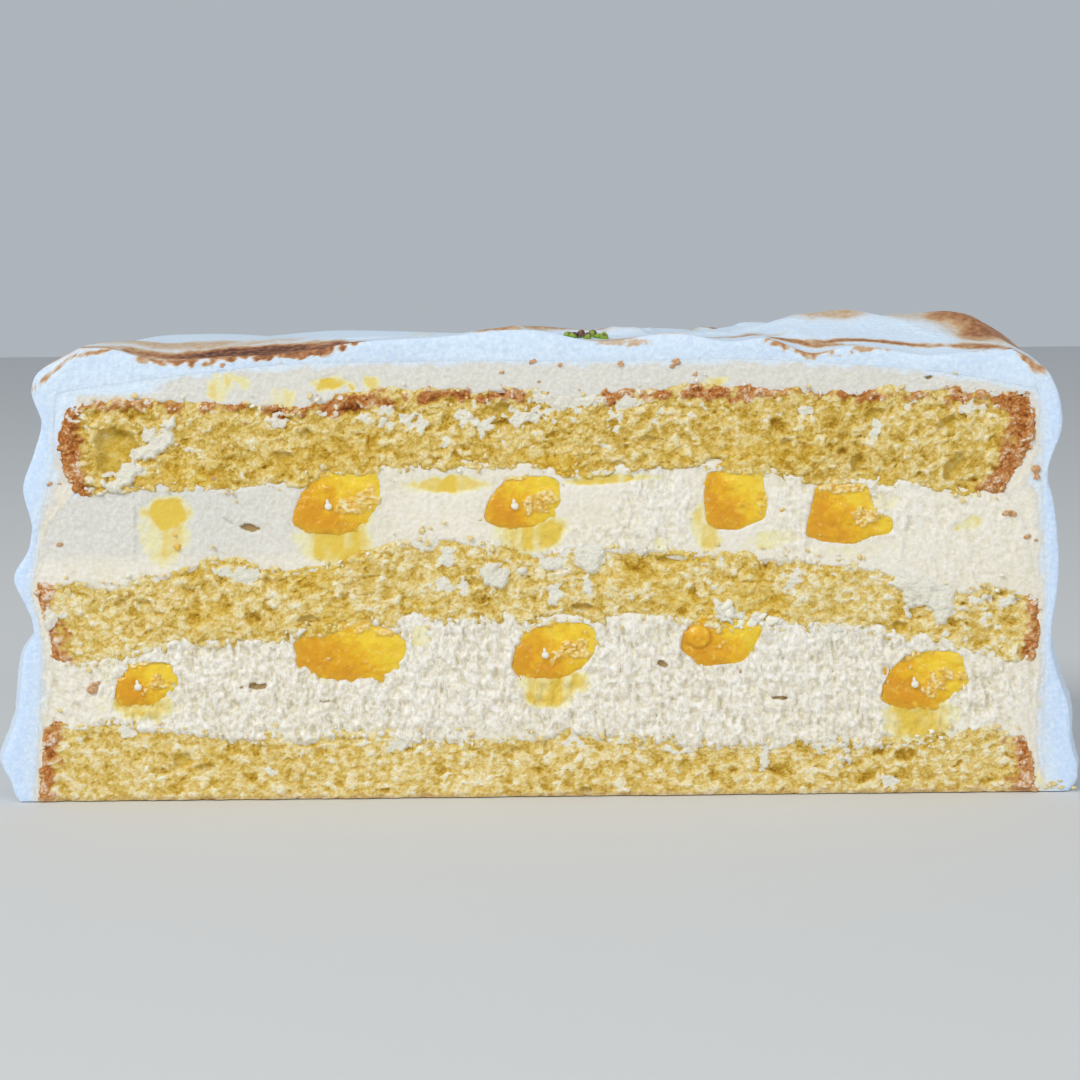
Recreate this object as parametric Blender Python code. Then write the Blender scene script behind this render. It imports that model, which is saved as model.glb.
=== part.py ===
"""Half of a round three-layer lemon cake, cut straight through its middle.

Three sponge layers hold two whipped cream fillings, each piped round with rings of lemon curd.
A thicker slab of the same cream lies on the top sponge and runs down the sides as a thin coat.
Torched meringue, spread with a palette knife, covers all of it except the cut face.
The cut face looks along -Y, the rounded back is at +Y, and the cake stands on z = 0.
"""
import math

import bpy
import bmesh
import numpy as np

# Sizes are in millimetres here, and the meshes are made in metres.
MM = 0.001
GAP = 0.3

CAKE_NAME = "lemon_cake"
CAKE_RADIUS = 100.0         # of the sponges, baked in a 20 cm tin
DEPTH = 108.5               # of the half cake, from the cut face to the back
FADE_DEPTH = 22.0           # how far behind the cut its own heights carry on
CUT_MEAN = 0.14             # unevenness that the knife left in the cut face
CUT_RELIEF = 0.21
CUT_WAVES = 38.0
CUT_SEED = 8
FACE_SWELL = 0.5            # unevenness of the layers' faces behind the cut
FACE_WAVES = 70.0
SWELL_WAVES = 5             # crossing waves that make uneven ground, and how their lengths differ
SWELL_STRETCH = (0.7, 1.5)
CUTTER_REACH = 4.0          # how far a cutter runs out of the cake
PRESS_HEIGHT = 12.0         # of the space that a sponge takes as it presses down on the curd

# Heights of the layers' faces along the cut, from the left end to the right one.
SPONGE_BOTTOM_ROOF = ((-102, 15.4), (-90, 16.0), (-75, 15.0), (-62, 13.3), (-35, 13.7), (-6, 12.4),
                      (5, 13.7), (28, 11.0), (60, 11.5), (74, 10.3), (87, 12.9), (102, 10.6))
SPONGE_MIDDLE_FLOOR = ((-102, 31.0), (-93, 27.4), (-86, 28.6), (-76, 31.0), (-53, 32.3), (-38, 34.6),
                       (0, 35.3), (28, 34.9), (60, 32.4), (77, 30.4), (95, 26.5), (102, 26.5))
SPONGE_MIDDLE_ROOF = ((-102, 43.4), (-92, 45.0), (-83, 43.9), (-65, 48.9), (-52, 46.4), (-40, 47.6),
                      (-28, 51.9), (-18, 52.8), (-3, 50.0), (12, 50.3), (40, 49.2), (55, 47.8),
                      (71, 44.8), (83, 40.8), (91, 41.9), (102, 37.6))
SPONGE_TOP_FLOOR = ((-98, 62.6), (-58, 62.7), (-40, 65.5), (-3, 66.1), (15, 65.1), (28, 66.1),
                    (55, 63.8), (76, 61.8), (98, 60.7))
SPONGE_TOP_ROOF = ((-98, 79.0), (-88, 80.3), (-74, 80.1), (-61, 79.3), (-49, 79.2), (-35, 81.8),
                   (0, 81.5), (9, 80.5), (17, 81.7), (60, 81.1), (90, 80.9), (100, 80.2))
MERINGUE_EDGE = ((-92, 91.4), (-85, 91.2), (-77, 89.0), (-63, 89.2), (-47, 90.2), (-35, 92.0),
                 (-20, 92.8), (0, 94.0), (13, 91.6), (28, 93.2), (40, 91.4), (46, 92.0), (56, 88.8),
                 (62, 90.0), (80, 88.3), (92, 89.2))

# How far the crust of the sponges stands out at the left and right ends, by height.
CORE_LEFT = ((0, 100.4), (12, 99.6), (17, 99.0), (24, 97.6), (29, 97.6), (36, 98.9), (43, 100.4),
             (48, 99.3), (57, 97.0), (62.5, 92.4), (67, 94.2), (73, 94.8), (80, 93.4))
CORE_RIGHT = ((0, 100.4), (10, 98.9), (17, 98.6), (26, 99.6), (31, 100.6), (39, 100.5), (46, 99.2),
              (57, 96.5), (61, 94.0), (65, 96.0), (69, 98.2), (74, 99.6), (80, 98.4))
COAT_LEFT = ((0, 102.0), (12, 101.0), (20, 100.3), (30, 99.8), (36, 100.2), (43, 101.7), (50, 100.8),
             (60, 98.8), (67, 96.8), (73, 96.4), (82, 95.6))
COAT_RIGHT = ((0, 102.6), (10, 101.8), (30, 102.2), (40, 102.2), (55, 101.7), (65, 101.5),
              (74, 101.6), (82, 100.6))
MERINGUE_LEFT = ((0, 105.0), (3, 107.8), (8, 110.6), (12, 109.4), (17, 107.4), (26, 106.2),
                 (31, 105.0), (35, 102.2), (40, 103.6), (46, 105.2), (51, 102.2), (56, 101.2),
                 (64, 102.8), (71, 100.4), (77, 98.8), (84, 100.6), (87, 99.4), (92, 91.0))
MERINGUE_RIGHT = ((0, 107.2), (3, 110.4), (10, 109.8), (18, 109.2), (24, 107.2), (30, 105.6),
                  (45, 105.2), (56, 104.5), (62, 103.6), (67, 102.4), (71, 103.8), (75, 105.4),
                  (80, 105.4), (85, 104.0), (88, 102.2), (92, 95.6))

SLAB_TOP = 88.0             # of the cream slab in the middle, and how much lower its rim is
SLAB_FALL = 6.2
SLAB_ROUND = 3.2            # the higher, the flatter its middle and the rounder its rim
SLAB_SWELL = 0.3
SLAB_WAVES = 60.0
SLAB_SEED = 6

# The meringue's top: its mean height away from the cut, and its fall near the rim.
MERINGUE_TOP = 92.6
RIM_FALL = 0.6
RIM_START = 70.0
RIM_LENGTH = 20.0
TOP_SWELL = 0.8
TOP_WAVES = 55.0
TOP_SEED = 7
EDGE_FADE = 9.0             # the cut edge's own heights reach this far back

# The meringue's shoulder, from where the wall bends inward to where the top begins.
SHOULDER_START = 76.0
SHOULDER_HEIGHT = 92.0
SHOULDER_RADIUS = 90.0
SHOULDER_BEND = 2.4
SHOULDER_CALM = 0.6         # share of the side's waves that fades there

# The palette knife's sweeps round the side.
WAVE_LENGTH = 18.0
WAVE_DEPTH = 1.7
WAVE_WANDER = ((2.2, 2.3, 0.6), (0.9, 5.1, 0.0))    # size, rate and phase of each part
WAVE_CHANGE = (0.75, 0.35, 3.7, 21.0)       # mean depth, its change, rate round, rise of a turn
WALL_RADIUS = 104.0
WALL_FLARE = 3.6            # the foot, where the knife turned outward
FLARE_HEIGHT = 6.0
FLARE_REACH = 7.0
END_REACH = 0.42            # radians that each end's own outline carries on round the side
CUT_PINCH = 2.2             # the wall is thinner right at the cut
PINCH_FADE = 5.0
PINCH_RISE = 5.0            # heights by which the pinch is full, starts to end and has ended
PINCH_TOP = 24.0
PINCH_END = 50.0
LEAST_WALL = 1.3            # of meringue outside the cream coat, up to a height
LEAST_WALL_TOP = 80.0

# Folds of meringue behind the cut, thick ones at the right: x, depth, length, width, turn, rise.
FOLDS = ((58.5, 26.0, 10.0, 9.0, 0.3, 4.2), (81.5, 26.0, 15.0, 10.0, -0.12, 4.6),
         (58.0, 56.0, 20.0, 8.0, 0.8, 1.8), (40.0, 40.0, 12.0, 10.0, 0.0, 1.0),
         (-84.0, 13.0, 7.0, 8.0, 0.0, 1.2))

# Sweeps of the palette knife over the top, each an arc with a trough and a raised lip.
KNIFE_STROKES = 18
STROKE_SEED = 11
STROKE_AWAY = (10.0, 88.0)  # from the cake's middle
STROKE_RADIUS = (26.0, 60.0)
STROKE_HALF_TURN = (0.35, 0.8)
STROKE_WIDTH = (14.0, 24.0)
STROKE_DEPTH = (1.1, 2.3)
STROKE_BED = 0.5            # share of the depth that goes into the trough, and into the lip
STROKE_LIP = 0.34
STROKE_EDGE = 3.0           # over which a trough fades out sideways, and in radians at its ends
STROKE_END = 0.2
BED_FLOOR = 0.75            # how deep the trough's middle lies against its edges
LIP_WIDTH = 2.4
LIP_END = 0.3

# Lemon curd, piped in rings round a middle drop: x, height, width and depth of each cut spot.
LOWER_RINGS = {"curd_lower_outer": ((-79.6, 23.6, 13.8, 10.0), (77.6, 22.9, 18.6, 12.6)),
               "curd_lower_inner": ((-37.2, 30.4, 25.4, 12.4), (37.0, 31.6, 17.6, 11.4))}
LOWER_DROP = {"curd_lower_centre": (3.2, 29.8, 18.6, 13.4)}
UPPER_RINGS = {"curd_upper_outer": ((-74.0, 57.4, 8.4, 6.0), (63.4, 57.4, 19.0, 13.6)),
               "curd_upper_inner": ((-40.0, 59.8, 18.6, 14.2), (40.2, 59.6, 13.8, 13.6))}
UPPER_DROP = {"curd_upper_centre": (-2.8, 60.6, 16.8, 13.6)}
CURD_SIDES = 10
RING_STEPS = 12
RING_WOBBLE = 0.10          # how unevenly a ring was piped, and how often that changes
RING_WOBBLES = 7
DROP_STEPS = (0.0, 0.35, 0.65, 0.88, 1.0)
DROP_ROUND = 0.97           # how far the drop closes at its back
CURD_BASE = 0.46            # share of the height at which the curd lies flat on the cream
POINT_SIZE = 0.24           # the outline's point, low at the left
POINT_TURN = math.radians(205)
POINT_WIDTH = 0.32
FULL_SIZE = 0.06            # the outline's fuller upper right
FULL_TURN = math.radians(35)

# Air pockets torn open by the knife: node, x, z, width, height, depth.
POCKETS = (("sponge_top", -86.0, 71.0, 6.2, 8.0, 5.0), ("sponge_top", 87.6, 63.9, 6.4, 3.0, 3.4),
           ("sponge_middle", -62.0, 40.0, 5.0, 2.6, 3.0), ("sponge_middle", 20.0, 41.0, 4.6, 2.4, 3.0),
           ("sponge_bottom", -66.0, 6.4, 5.4, 2.6, 3.0), ("sponge_bottom", 46.0, 6.0, 4.6, 2.4, 3.0),
           ("cream_upper", -57.6, 54.6, 5.4, 1.5, 3.4), ("cream_lower", -56.4, 22.4, 6.0, 1.4, 3.4))

# Chopped pistachio on the top, just behind the cut: middle, spread, size of a nib.
NIB_PLACE = (10.6, 8.5)
NIB_SPREAD = (4.4, 3.2)
NIB_SIZE = 1.5
NIB_STRETCH = (0.85, 1.5)
NIB_STANDS = 0.35           # share of its size by which a nib's middle stands above the meringue
NIB_COUNT = 7
NIB_SEED = 4

# Divisions of the blocks: across, back, up.
CORE_GRID = (18, 7, 2)
MERINGUE_GRID = (34, 14)
MERINGUE_LEVELS = (0, 3, 8, 14, 20, 26, 32, 38, 45, 52, 59, 66, 73, 79, 84, 88, SHOULDER_HEIGHT)
COAT_LEVELS = (0, 12, 24, 36, 50, 66, 82)

# Colour and roughness of each material.
SPONGE_LOOK = ((0.62, 0.44, 0.13, 1.0), 0.9)
CREAM_LOOK = ((0.76, 0.73, 0.60, 1.0), 0.6)
CURD_LOOK = ((0.72, 0.36, 0.02, 1.0), 0.25)
MERINGUE_LOOK = ((0.80, 0.86, 0.92, 1.0), 0.5)


def curve_through(points):
    """A smooth line through (place, height) points, level beyond both ends."""
    places, heights = np.array(points, float).T
    slopes = np.gradient(heights, places)

    def height(place):
        place = np.clip(place, places[0], places[-1])
        i = np.clip(np.searchsorted(places, place) - 1, 0, len(places) - 2)
        span = places[i + 1] - places[i]
        t = (place - places[i]) / span
        line = heights[i] * (1 + 2 * t) * (1 - t) ** 2 + heights[i + 1] * t * t * (3 - 2 * t)
        bend = slopes[i] * t * (1 - t) ** 2 - slopes[i + 1] * t * t * (1 - t)
        return line + span * bend

    return height


def swell(x, y, wavelength, seed):
    """Gentle hills of about one unit, from a few crossing waves."""
    rng = np.random.default_rng(seed)
    total = 0.0
    turns = rng.uniform(0, math.pi, SWELL_WAVES)
    phases = rng.uniform(0, 2 * math.pi, SWELL_WAVES)
    stretches = rng.uniform(*SWELL_STRETCH, SWELL_WAVES)
    for turn, phase, stretch in zip(turns, phases, stretches):
        along = x * math.cos(turn) + y * math.sin(turn)
        total = total + np.sin(along * stretch * 2 * math.pi / wavelength + phase)
    return 2 * total / SWELL_WAVES


def smooth_step(value):
    value = np.clip(value, 0.0, 1.0)
    return value * value * (3 - 2 * value)


def half_disc(u, v):
    """A square's point, u from -1 to 1 and v from 0 to 1, moved to a half disc of radius 1."""
    return u * np.sqrt(1 - v * v / 2), v * np.sqrt(1 - u * u / 2)


def cut_block(across, back, up):
    """A block from -1 to 1, 0 to 1 and 0 to 1, cut along that many planes each way."""
    bm = bmesh.new()
    bmesh.ops.create_cube(bm, size=1.0)
    for vert in bm.verts:
        vert.co = (vert.co.x * 2, vert.co.y + 0.5, vert.co.z + 0.5)
    planes = [((2 * i / across - 1, 0, 0), (1, 0, 0)) for i in range(1, across)]
    planes += [((0, i / back, 0), (0, 1, 0)) for i in range(1, back)]
    planes += [((0, 0, i / up), (0, 0, 1)) for i in range(1, up)]
    for place, normal in planes:
        everything = bm.verts[:] + bm.edges[:] + bm.faces[:]
        bmesh.ops.bisect_plane(bm, geom=everything, dist=1e-6, plane_co=place, plane_no=normal)
    # Faces that lie on each other are split along the same diagonal, so that they stay apart.
    for face in bm.faces[:]:
        corners = sorted(face.verts, key=lambda vert: sum(vert.co))
        bmesh.utils.face_split(face, corners[0], corners[-1])
    return bm


def shaped_block(name, across, back, up, shape):
    """A new object: a cut block whose points a function moves to their places."""
    bm = cut_block(across, back, up)
    u, v, w = np.array([vert.co[:] for vert in bm.verts]).T
    x, y, z = shape(u, v, w)
    for vert, place in zip(bm.verts, zip(x, y - DEPTH / 2, z)):
        vert.co = [value * MM for value in place]
    return mesh_object(name, bm)


def mesh_object(name, bm):
    bmesh.ops.recalc_face_normals(bm, faces=bm.faces[:])
    mesh = bpy.data.meshes.new(name)
    bm.to_mesh(mesh)
    bm.free()
    return bpy.data.objects.new(name, mesh)


def layer_face(points, seed):
    """The height of a layer's face: as seen along the cut, and gently uneven behind it."""
    along_cut = curve_through(points)
    mean = float(np.mean([height for _, height in points[1:-1]]))

    def height(x, y):
        near = np.exp(-(y / FADE_DEPTH) ** 2)
        behind = FACE_SWELL * swell(x, y, FACE_WAVES, seed)
        return mean + near * (along_cut(x) - mean) + (1 - near) * behind

    return height


def base(x, y):
    return 0.0 * x


# The faces between the layers, from the base up.
FACES = [base,
         layer_face(SPONGE_BOTTOM_ROOF, 1),
         layer_face(SPONGE_MIDDLE_FLOOR, 2),
         layer_face(SPONGE_MIDDLE_ROOF, 3),
         layer_face(SPONGE_TOP_FLOOR, 4),
         layer_face(SPONGE_TOP_ROOF, 5)]


def side_radius(left, right):
    """The radius at a height, from the left end's outline to the right end's."""
    left_line = curve_through(left)
    right_line = curve_through(right)

    def radius(across, z):
        share = smooth_step((across + 1) / 2)
        return left_line(z) * (1 - share) + right_line(z) * share

    return radius


core_radius = side_radius(CORE_LEFT, CORE_RIGHT)
coat_radius = side_radius(COAT_LEFT, COAT_RIGHT)


def cut_face_relief(x, y, z, v):
    """The cut face is a little uneven, as a knife leaves it."""
    return y + np.where(v == 0, CUT_MEAN + CUT_RELIEF * swell(x, z, CUT_WAVES, CUT_SEED), 0.0)


def layer(name, below):
    """One layer between two faces, with half a gap to its neighbours above and below."""
    lift = GAP / 2 if below else 0.0

    def shape(u, v, w):
        hx, hy = half_disc(u, v)
        low = FACES[below](CAKE_RADIUS * hx, CAKE_RADIUS * hy) + lift
        high = FACES[below + 1](CAKE_RADIUS * hx, CAKE_RADIUS * hy) - GAP / 2
        z = low + w * (high - low)
        radius = core_radius(hx, z)
        x = radius * hx
        y = radius * hy
        return x, cut_face_relief(x, y, z, v), z

    return shaped_block(name, *CORE_GRID, shape)


def run_out(share, count):
    """A cutter has one division more at its start, which runs out of the cake."""
    step = np.rint(share * (count + 1)).astype(int)
    return np.maximum(step - 1, 0) / count, step == 0


def pressing_sponge(name, below):
    """The space of the sponge that was pressed down on the curd, with a gap below it."""
    across, back, up = CORE_GRID

    def shape(u, v, w):
        v, before_cut = run_out(v, back)
        hx, hy = half_disc(u, v)
        z = FACES[below](CAKE_RADIUS * hx, CAKE_RADIUS * hy) - GAP / 2 + w * PRESS_HEIGHT
        radius = core_radius(hx, z)
        return radius * hx, np.where(before_cut, -CUTTER_REACH, radius * hy), z

    return shaped_block(name, across, back + 1, up, shape)


def core_cutter():
    """All the layers as one block, a gap larger, which runs out through the cut and the base."""
    across, back, up = CORE_GRID
    rows = 5 * up

    def shape(u, v, w):
        v, before_cut = run_out(v, back)
        w, below_base = run_out(w, rows)
        hx, hy = half_disc(u, v)
        step = w * rows
        index = np.minimum((step // up).astype(int), 4)
        part = (step - index * up) / up
        heights = np.array([face(CAKE_RADIUS * hx, CAKE_RADIUS * hy) for face in FACES])
        low = np.take_along_axis(heights, index[None], 0)[0]
        high = np.take_along_axis(heights, index[None] + 1, 0)[0]
        z = low + part * (high - low)
        radius = core_radius(hx, z) + GAP
        z = np.where(w == 1, z + GAP / 2, z)
        z = np.where(below_base, -CUTTER_REACH, z)
        y = np.where(before_cut, -CUTTER_REACH, radius * hy)
        return radius * hx, y, z

    return shaped_block("core_cutter", across, back + 1, rows + 1, shape)


def coat_top(x, y):
    """The cream slab on the top sponge falls away towards the rim."""
    fall = SLAB_FALL * (np.hypot(x, y) / CAKE_RADIUS) ** SLAB_ROUND
    return SLAB_TOP - fall + SLAB_SWELL * swell(x, y, SLAB_WAVES, SLAB_SEED)


def coat_place(u, v, w, grow):
    """A point of the cream coat's outer shape, a little further out with grow."""
    hx, hy = half_disc(u, v)
    side = np.interp(w, np.linspace(0, 1, len(COAT_LEVELS)), COAT_LEVELS)
    radius = coat_radius(hx, side)
    rim = coat_top(radius * hx, radius * hy)
    z = side / COAT_LEVELS[-1] * rim + np.where(w == 1, grow, 0)
    return (radius + grow) * hx, (radius + grow) * hy, z


def coat_block():
    def shape(u, v, w):
        x, y, z = coat_place(u, v, w, 0.0)
        return x, cut_face_relief(x, y, z, v), z

    return shaped_block("cream_coat", CORE_GRID[0], CORE_GRID[1], len(COAT_LEVELS) - 1, shape)


def coat_cutter():
    """The hollow that the meringue has for the cream coat."""
    across, back, _ = CORE_GRID
    rows = len(COAT_LEVELS) - 1

    def shape(u, v, w):
        v, before_cut = run_out(v, back)
        w, below_base = run_out(w, rows)
        x, y, z = coat_place(u, v, w, GAP)
        return x, np.where(before_cut, -CUTTER_REACH, y), np.where(below_base, -CUTTER_REACH, z)

    return shaped_block("coat_cutter", across, back + 1, rows + 1, shape)


meringue_left = curve_through(MERINGUE_LEFT)
meringue_right = curve_through(MERINGUE_RIGHT)
meringue_edge = curve_through(MERINGUE_EDGE)


def wall_sweep(angle, z):
    """The wandering waves round the side, -1 in a trough and 1 on a ridge."""
    wander = sum(size * np.sin(rate * angle + phase) for size, rate, phase in WAVE_WANDER)
    return np.sin(2 * math.pi * z / WAVE_LENGTH + wander)


def meringue_radius(hx, hy, z):
    """The wavy wall: as seen at both ends of the cut, with wandering sweeps round the back."""
    angle = np.arctan2(hy, -hx)
    mean, change, rate, rise = WAVE_CHANGE
    depth = WAVE_DEPTH * (mean + change * np.sin(rate * angle + z / rise))
    foot = WALL_FLARE * np.exp(-((z - FLARE_HEIGHT) / FLARE_REACH) ** 2)
    shoulder = np.clip((z - SHOULDER_START) / (SHOULDER_HEIGHT - SHOULDER_START), 0, 1)
    wall = WALL_RADIUS + foot + depth * wall_sweep(angle, z) * (1 - SHOULDER_CALM * shoulder)
    wall = wall + (SHOULDER_RADIUS - WALL_RADIUS) * shoulder ** SHOULDER_BEND
    near_left = np.exp(-(angle / END_REACH) ** 2)
    near_right = np.exp(-((math.pi - angle) / END_REACH) ** 2)
    wall = wall + near_left * (meringue_left(z) - wall)
    wall = wall + near_right * (meringue_right(z) - wall)
    pinch = CUT_PINCH * np.exp(-(hy * WALL_RADIUS / PINCH_FADE) ** 2) * smooth_step(z / PINCH_RISE)
    pinch = pinch * (1 - smooth_step((z - PINCH_TOP) / (PINCH_END - PINCH_TOP)))
    least = coat_radius(hx, z) + LEAST_WALL
    return np.where(z < LEAST_WALL_TOP, np.maximum(wall - pinch, least), wall)


def knife_strokes():
    """Where the palette knife swept over the top: arcs with their middle, radius and width."""
    rng = np.random.default_rng(STROKE_SEED)
    strokes = []
    for i in range(KNIFE_STROKES):
        turn = rng.uniform(0, 2 * math.pi)
        away = rng.uniform(*STROKE_AWAY)
        reach = rng.uniform(*STROKE_RADIUS)
        heading = rng.uniform(0, 2 * math.pi)
        place = (away * math.cos(turn), abs(away * math.sin(turn)))
        centre = (place[0] - reach * math.cos(heading), place[1] - reach * math.sin(heading))
        strokes.append((centre, reach, heading, rng.uniform(*STROKE_HALF_TURN),
                        rng.uniform(*STROKE_WIDTH), rng.uniform(*STROKE_DEPTH)))
    return strokes


STROKES = knife_strokes()


def swept_top(x, y):
    """The relief of the top: each sweep wipes out what it crosses and leaves a raised lip."""
    relief = TOP_SWELL * swell(x, y, TOP_WAVES, TOP_SEED)
    for centre, reach, heading, half_turn, width, depth in STROKES:
        away = np.hypot(x - centre[0], y - centre[1]) - reach
        turn = np.arctan2(y - centre[1], x - centre[0]) - heading
        turn = np.abs((turn + math.pi) % (2 * math.pi) - math.pi)
        inside = smooth_step((width / 2 - np.abs(away)) / STROKE_EDGE)
        inside = inside * smooth_step((half_turn - turn) / STROKE_END)
        trough = STROKE_BED * depth * ((2 * away / width) ** 2 - BED_FLOOR)
        relief = relief + inside * (trough - relief)
        lip = np.exp(-((away - width / 2) / LIP_WIDTH) ** 2)
        lip = lip * smooth_step((half_turn - turn) / LIP_END)
        relief = relief + STROKE_LIP * depth * lip
    return relief


def meringue_top(x, y):
    """The height of the meringue's top."""
    away = np.hypot(x, y)
    z = MERINGUE_TOP + swept_top(x, y) - RIM_FALL * smooth_step((away - RIM_START) / RIM_LENGTH)
    for middle, back, length, width, turn, rise in FOLDS:
        along = (x - middle) * math.cos(turn) + (y - back) * math.sin(turn)
        aside = (y - back) * math.cos(turn) - (x - middle) * math.sin(turn)
        z = z + rise * np.exp(-(along / length) ** 4 - (aside / width) ** 2)
    near = np.exp(-(y / EDGE_FADE) ** 2)
    return z + near * (meringue_edge(x) - z)


def meringue_block():
    """The meringue's outer shape, solid."""
    levels = np.array(MERINGUE_LEVELS, float)

    def shape(u, v, w):
        hx, hy = half_disc(u, v)
        side = levels[np.rint(w * (len(levels) - 1)).astype(int)]
        length = np.maximum(np.hypot(hx, hy), 1e-6)
        radius = meringue_radius(hx / length, hy / length, side)
        end = meringue_radius(hx / length, hy / length, SHOULDER_HEIGHT)
        z = side / SHOULDER_HEIGHT * meringue_top(end * hx, end * hy)
        x = radius * hx
        return x, cut_face_relief(x, radius * hy, z, v), z

    return shaped_block("meringue", *MERINGUE_GRID, len(levels) - 1, shape)


def curd_outline(turn):
    """A piped blob's outline, as a share of its half size: pointed low at the left."""
    point = POINT_SIZE * np.exp(-((turn - POINT_TURN) / POINT_WIDTH) ** 2)
    fullness = FULL_SIZE * np.cos(2 * (turn - FULL_TURN))
    return 1.0 + point + fullness


def curd_section(place, z, width, height, share, grow):
    """Points round one section: a share of 0 is the left end's shape, 1 the right end's."""
    turns = np.arange(CURD_SIDES) * 2 * math.pi / CURD_SIDES
    as_left = curd_outline((math.pi - turns) % (2 * math.pi))
    as_right = curd_outline(turns)
    reach = as_left * (1 - share) + as_right * share
    aside = (width / 2 * reach + grow) * np.cos(turns)
    rise = np.maximum((height / 2 * reach + grow) * np.sin(turns), -CURD_BASE * height - grow)
    return place + aside, z + rise


def loft(name, sections):
    """A closed tube through rings of points, with both ends capped."""
    bm = bmesh.new()
    rings = []
    for section in sections:
        rings.append([bm.verts.new([value * MM for value in point]) for point in section])
    for lower, upper in zip(rings, rings[1:]):
        for i in range(len(lower)):
            j = (i + 1) % len(lower)
            bm.faces.new((lower[i], lower[j], upper[j], upper[i]))
    bm.faces.new(rings[0])
    bm.faces.new(rings[-1])
    return mesh_object(name, bm)


def curd_ring(name, left, right, grow=0.0):
    """A half ring of curd from its left cut end round to its right one."""
    middle = (left[0] + right[0]) / 2
    reach = (right[0] - left[0]) / 2
    sections = []
    for step in range(RING_STEPS + 1):
        share = step / RING_STEPS
        angle = math.pi * share
        place, z, width, height = [a * (1 - share) + b * share for a, b in zip(left, right)]
        wobble = 1 + RING_WOBBLE * math.sin(RING_WOBBLES * angle) * math.sin(angle)
        away, rise = curd_section(reach, z, width * wobble, height, share, grow)
        x = middle - away * math.cos(angle)
        y = away * math.sin(angle)
        sections.append(list(zip(x, y - DEPTH / 2, rise)))
    if grow:
        left_end = [(x, y - CUTTER_REACH, z) for x, y, z in sections[0]]
        right_end = [(x, y - CUTTER_REACH, z) for x, y, z in sections[-1]]
        sections = [left_end] + sections + [right_end]
    return loft(name, sections)


def curd_drop(name, place, grow=0.0):
    """The blob piped in the middle, cut in half."""
    x, z, width, height = place
    sections = []
    for share in DROP_STEPS:
        shrink = math.sqrt(1 - DROP_ROUND * share * share)
        across, rise = curd_section(0.0, 0.0, width * shrink, height * shrink, 1.0, grow * shrink)
        back = (width / 2 + grow) * share
        sections.append([(x + a, back - DEPTH / 2, z + b) for a, b in zip(across, rise)])
    if grow:
        sections.insert(0, [(a, b - CUTTER_REACH, c) for a, b, c in sections[0]])
    return loft(name, sections)


def curds(rings, drop, grow=0.0, prefix=""):
    """All the curd of one filling."""
    made = [curd_ring(prefix + name, *ends, grow) for name, ends in rings.items()]
    made += [curd_drop(prefix + name, place, grow) for name, place in drop.items()]
    return made


def pocket_cutter(name, x, z, width, height, depth):
    """A rough ball that opens an air pocket in the cut face."""
    bm = bmesh.new()
    bmesh.ops.create_icosphere(bm, subdivisions=1, radius=0.5)
    for vert in bm.verts:
        place = (x + vert.co.x * width, -DEPTH / 2 + vert.co.y * 2 * depth, z + vert.co.z * height)
        vert.co = [value * MM for value in place]
    return mesh_object(name, bm)


def pistachio_nibs():
    """Chopped nuts, each a small rough wedge pressed into the meringue."""
    rng = np.random.default_rng(NIB_SEED)
    nibs = []
    for i in range(NIB_COUNT):
        x = NIB_PLACE[0] + NIB_SPREAD[0] * (2 * (i + 0.5) / NIB_COUNT - 1)
        y = NIB_PLACE[1] + NIB_SPREAD[1] * rng.uniform(-1, 1)
        z = float(meringue_top(np.array(x), np.array(y))) + NIB_STANDS * NIB_SIZE
        bm = bmesh.new()
        bmesh.ops.create_icosphere(bm, subdivisions=1, radius=NIB_SIZE / 2)
        stretch = rng.uniform(*NIB_STRETCH, 3)
        for vert in bm.verts:
            place = (x + vert.co.x * stretch[0], y - DEPTH / 2 + vert.co.y * stretch[1],
                     z + vert.co.z * stretch[2])
            vert.co = [value * MM for value in place]
        nibs.append(mesh_object("nib_%d" % i, bm))
    return nibs


def material(name, colour, roughness):
    made = bpy.data.materials.new(name)
    made.use_nodes = True
    shader = made.node_tree.nodes["Principled BSDF"]
    shader.inputs["Base Color"].default_value = colour
    shader.inputs["Roughness"].default_value = roughness
    shader.inputs["Metallic"].default_value = 0.0
    made.diffuse_color = colour
    return made


def use_cutter(obj, cutter, cutters):
    """Cut an object with another one, which stays hidden."""
    if cutter.name not in cutters.objects:
        cutters.objects.link(cutter)
    cutter.hide_render = True
    cutter.display_type = "WIRE"
    modifier = obj.modifiers.new(cutter.name, "BOOLEAN")
    modifier.operation = "DIFFERENCE"
    modifier.object = cutter
    modifier.solver = "EXACT"


def fuse(obj, pieces):
    """Join small pieces to an object for good, and remove them."""
    group = bpy.data.collections.new(obj.name + "_toppings")
    bpy.context.scene.collection.children.link(group)
    for piece in pieces:
        group.objects.link(piece)
    modifier = obj.modifiers.new("toppings", "BOOLEAN")
    modifier.operation = "UNION"
    modifier.operand_type = "COLLECTION"
    modifier.collection = group
    modifier.solver = "EXACT"
    bpy.context.view_layer.update()
    evaluated = obj.evaluated_get(bpy.context.evaluated_depsgraph_get())
    mesh = bpy.data.meshes.new_from_object(evaluated)
    obj.modifiers.clear()
    obj.data = mesh
    mesh.name = obj.name
    for piece in pieces:
        bpy.data.objects.remove(piece)
    bpy.data.collections.remove(group)


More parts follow.
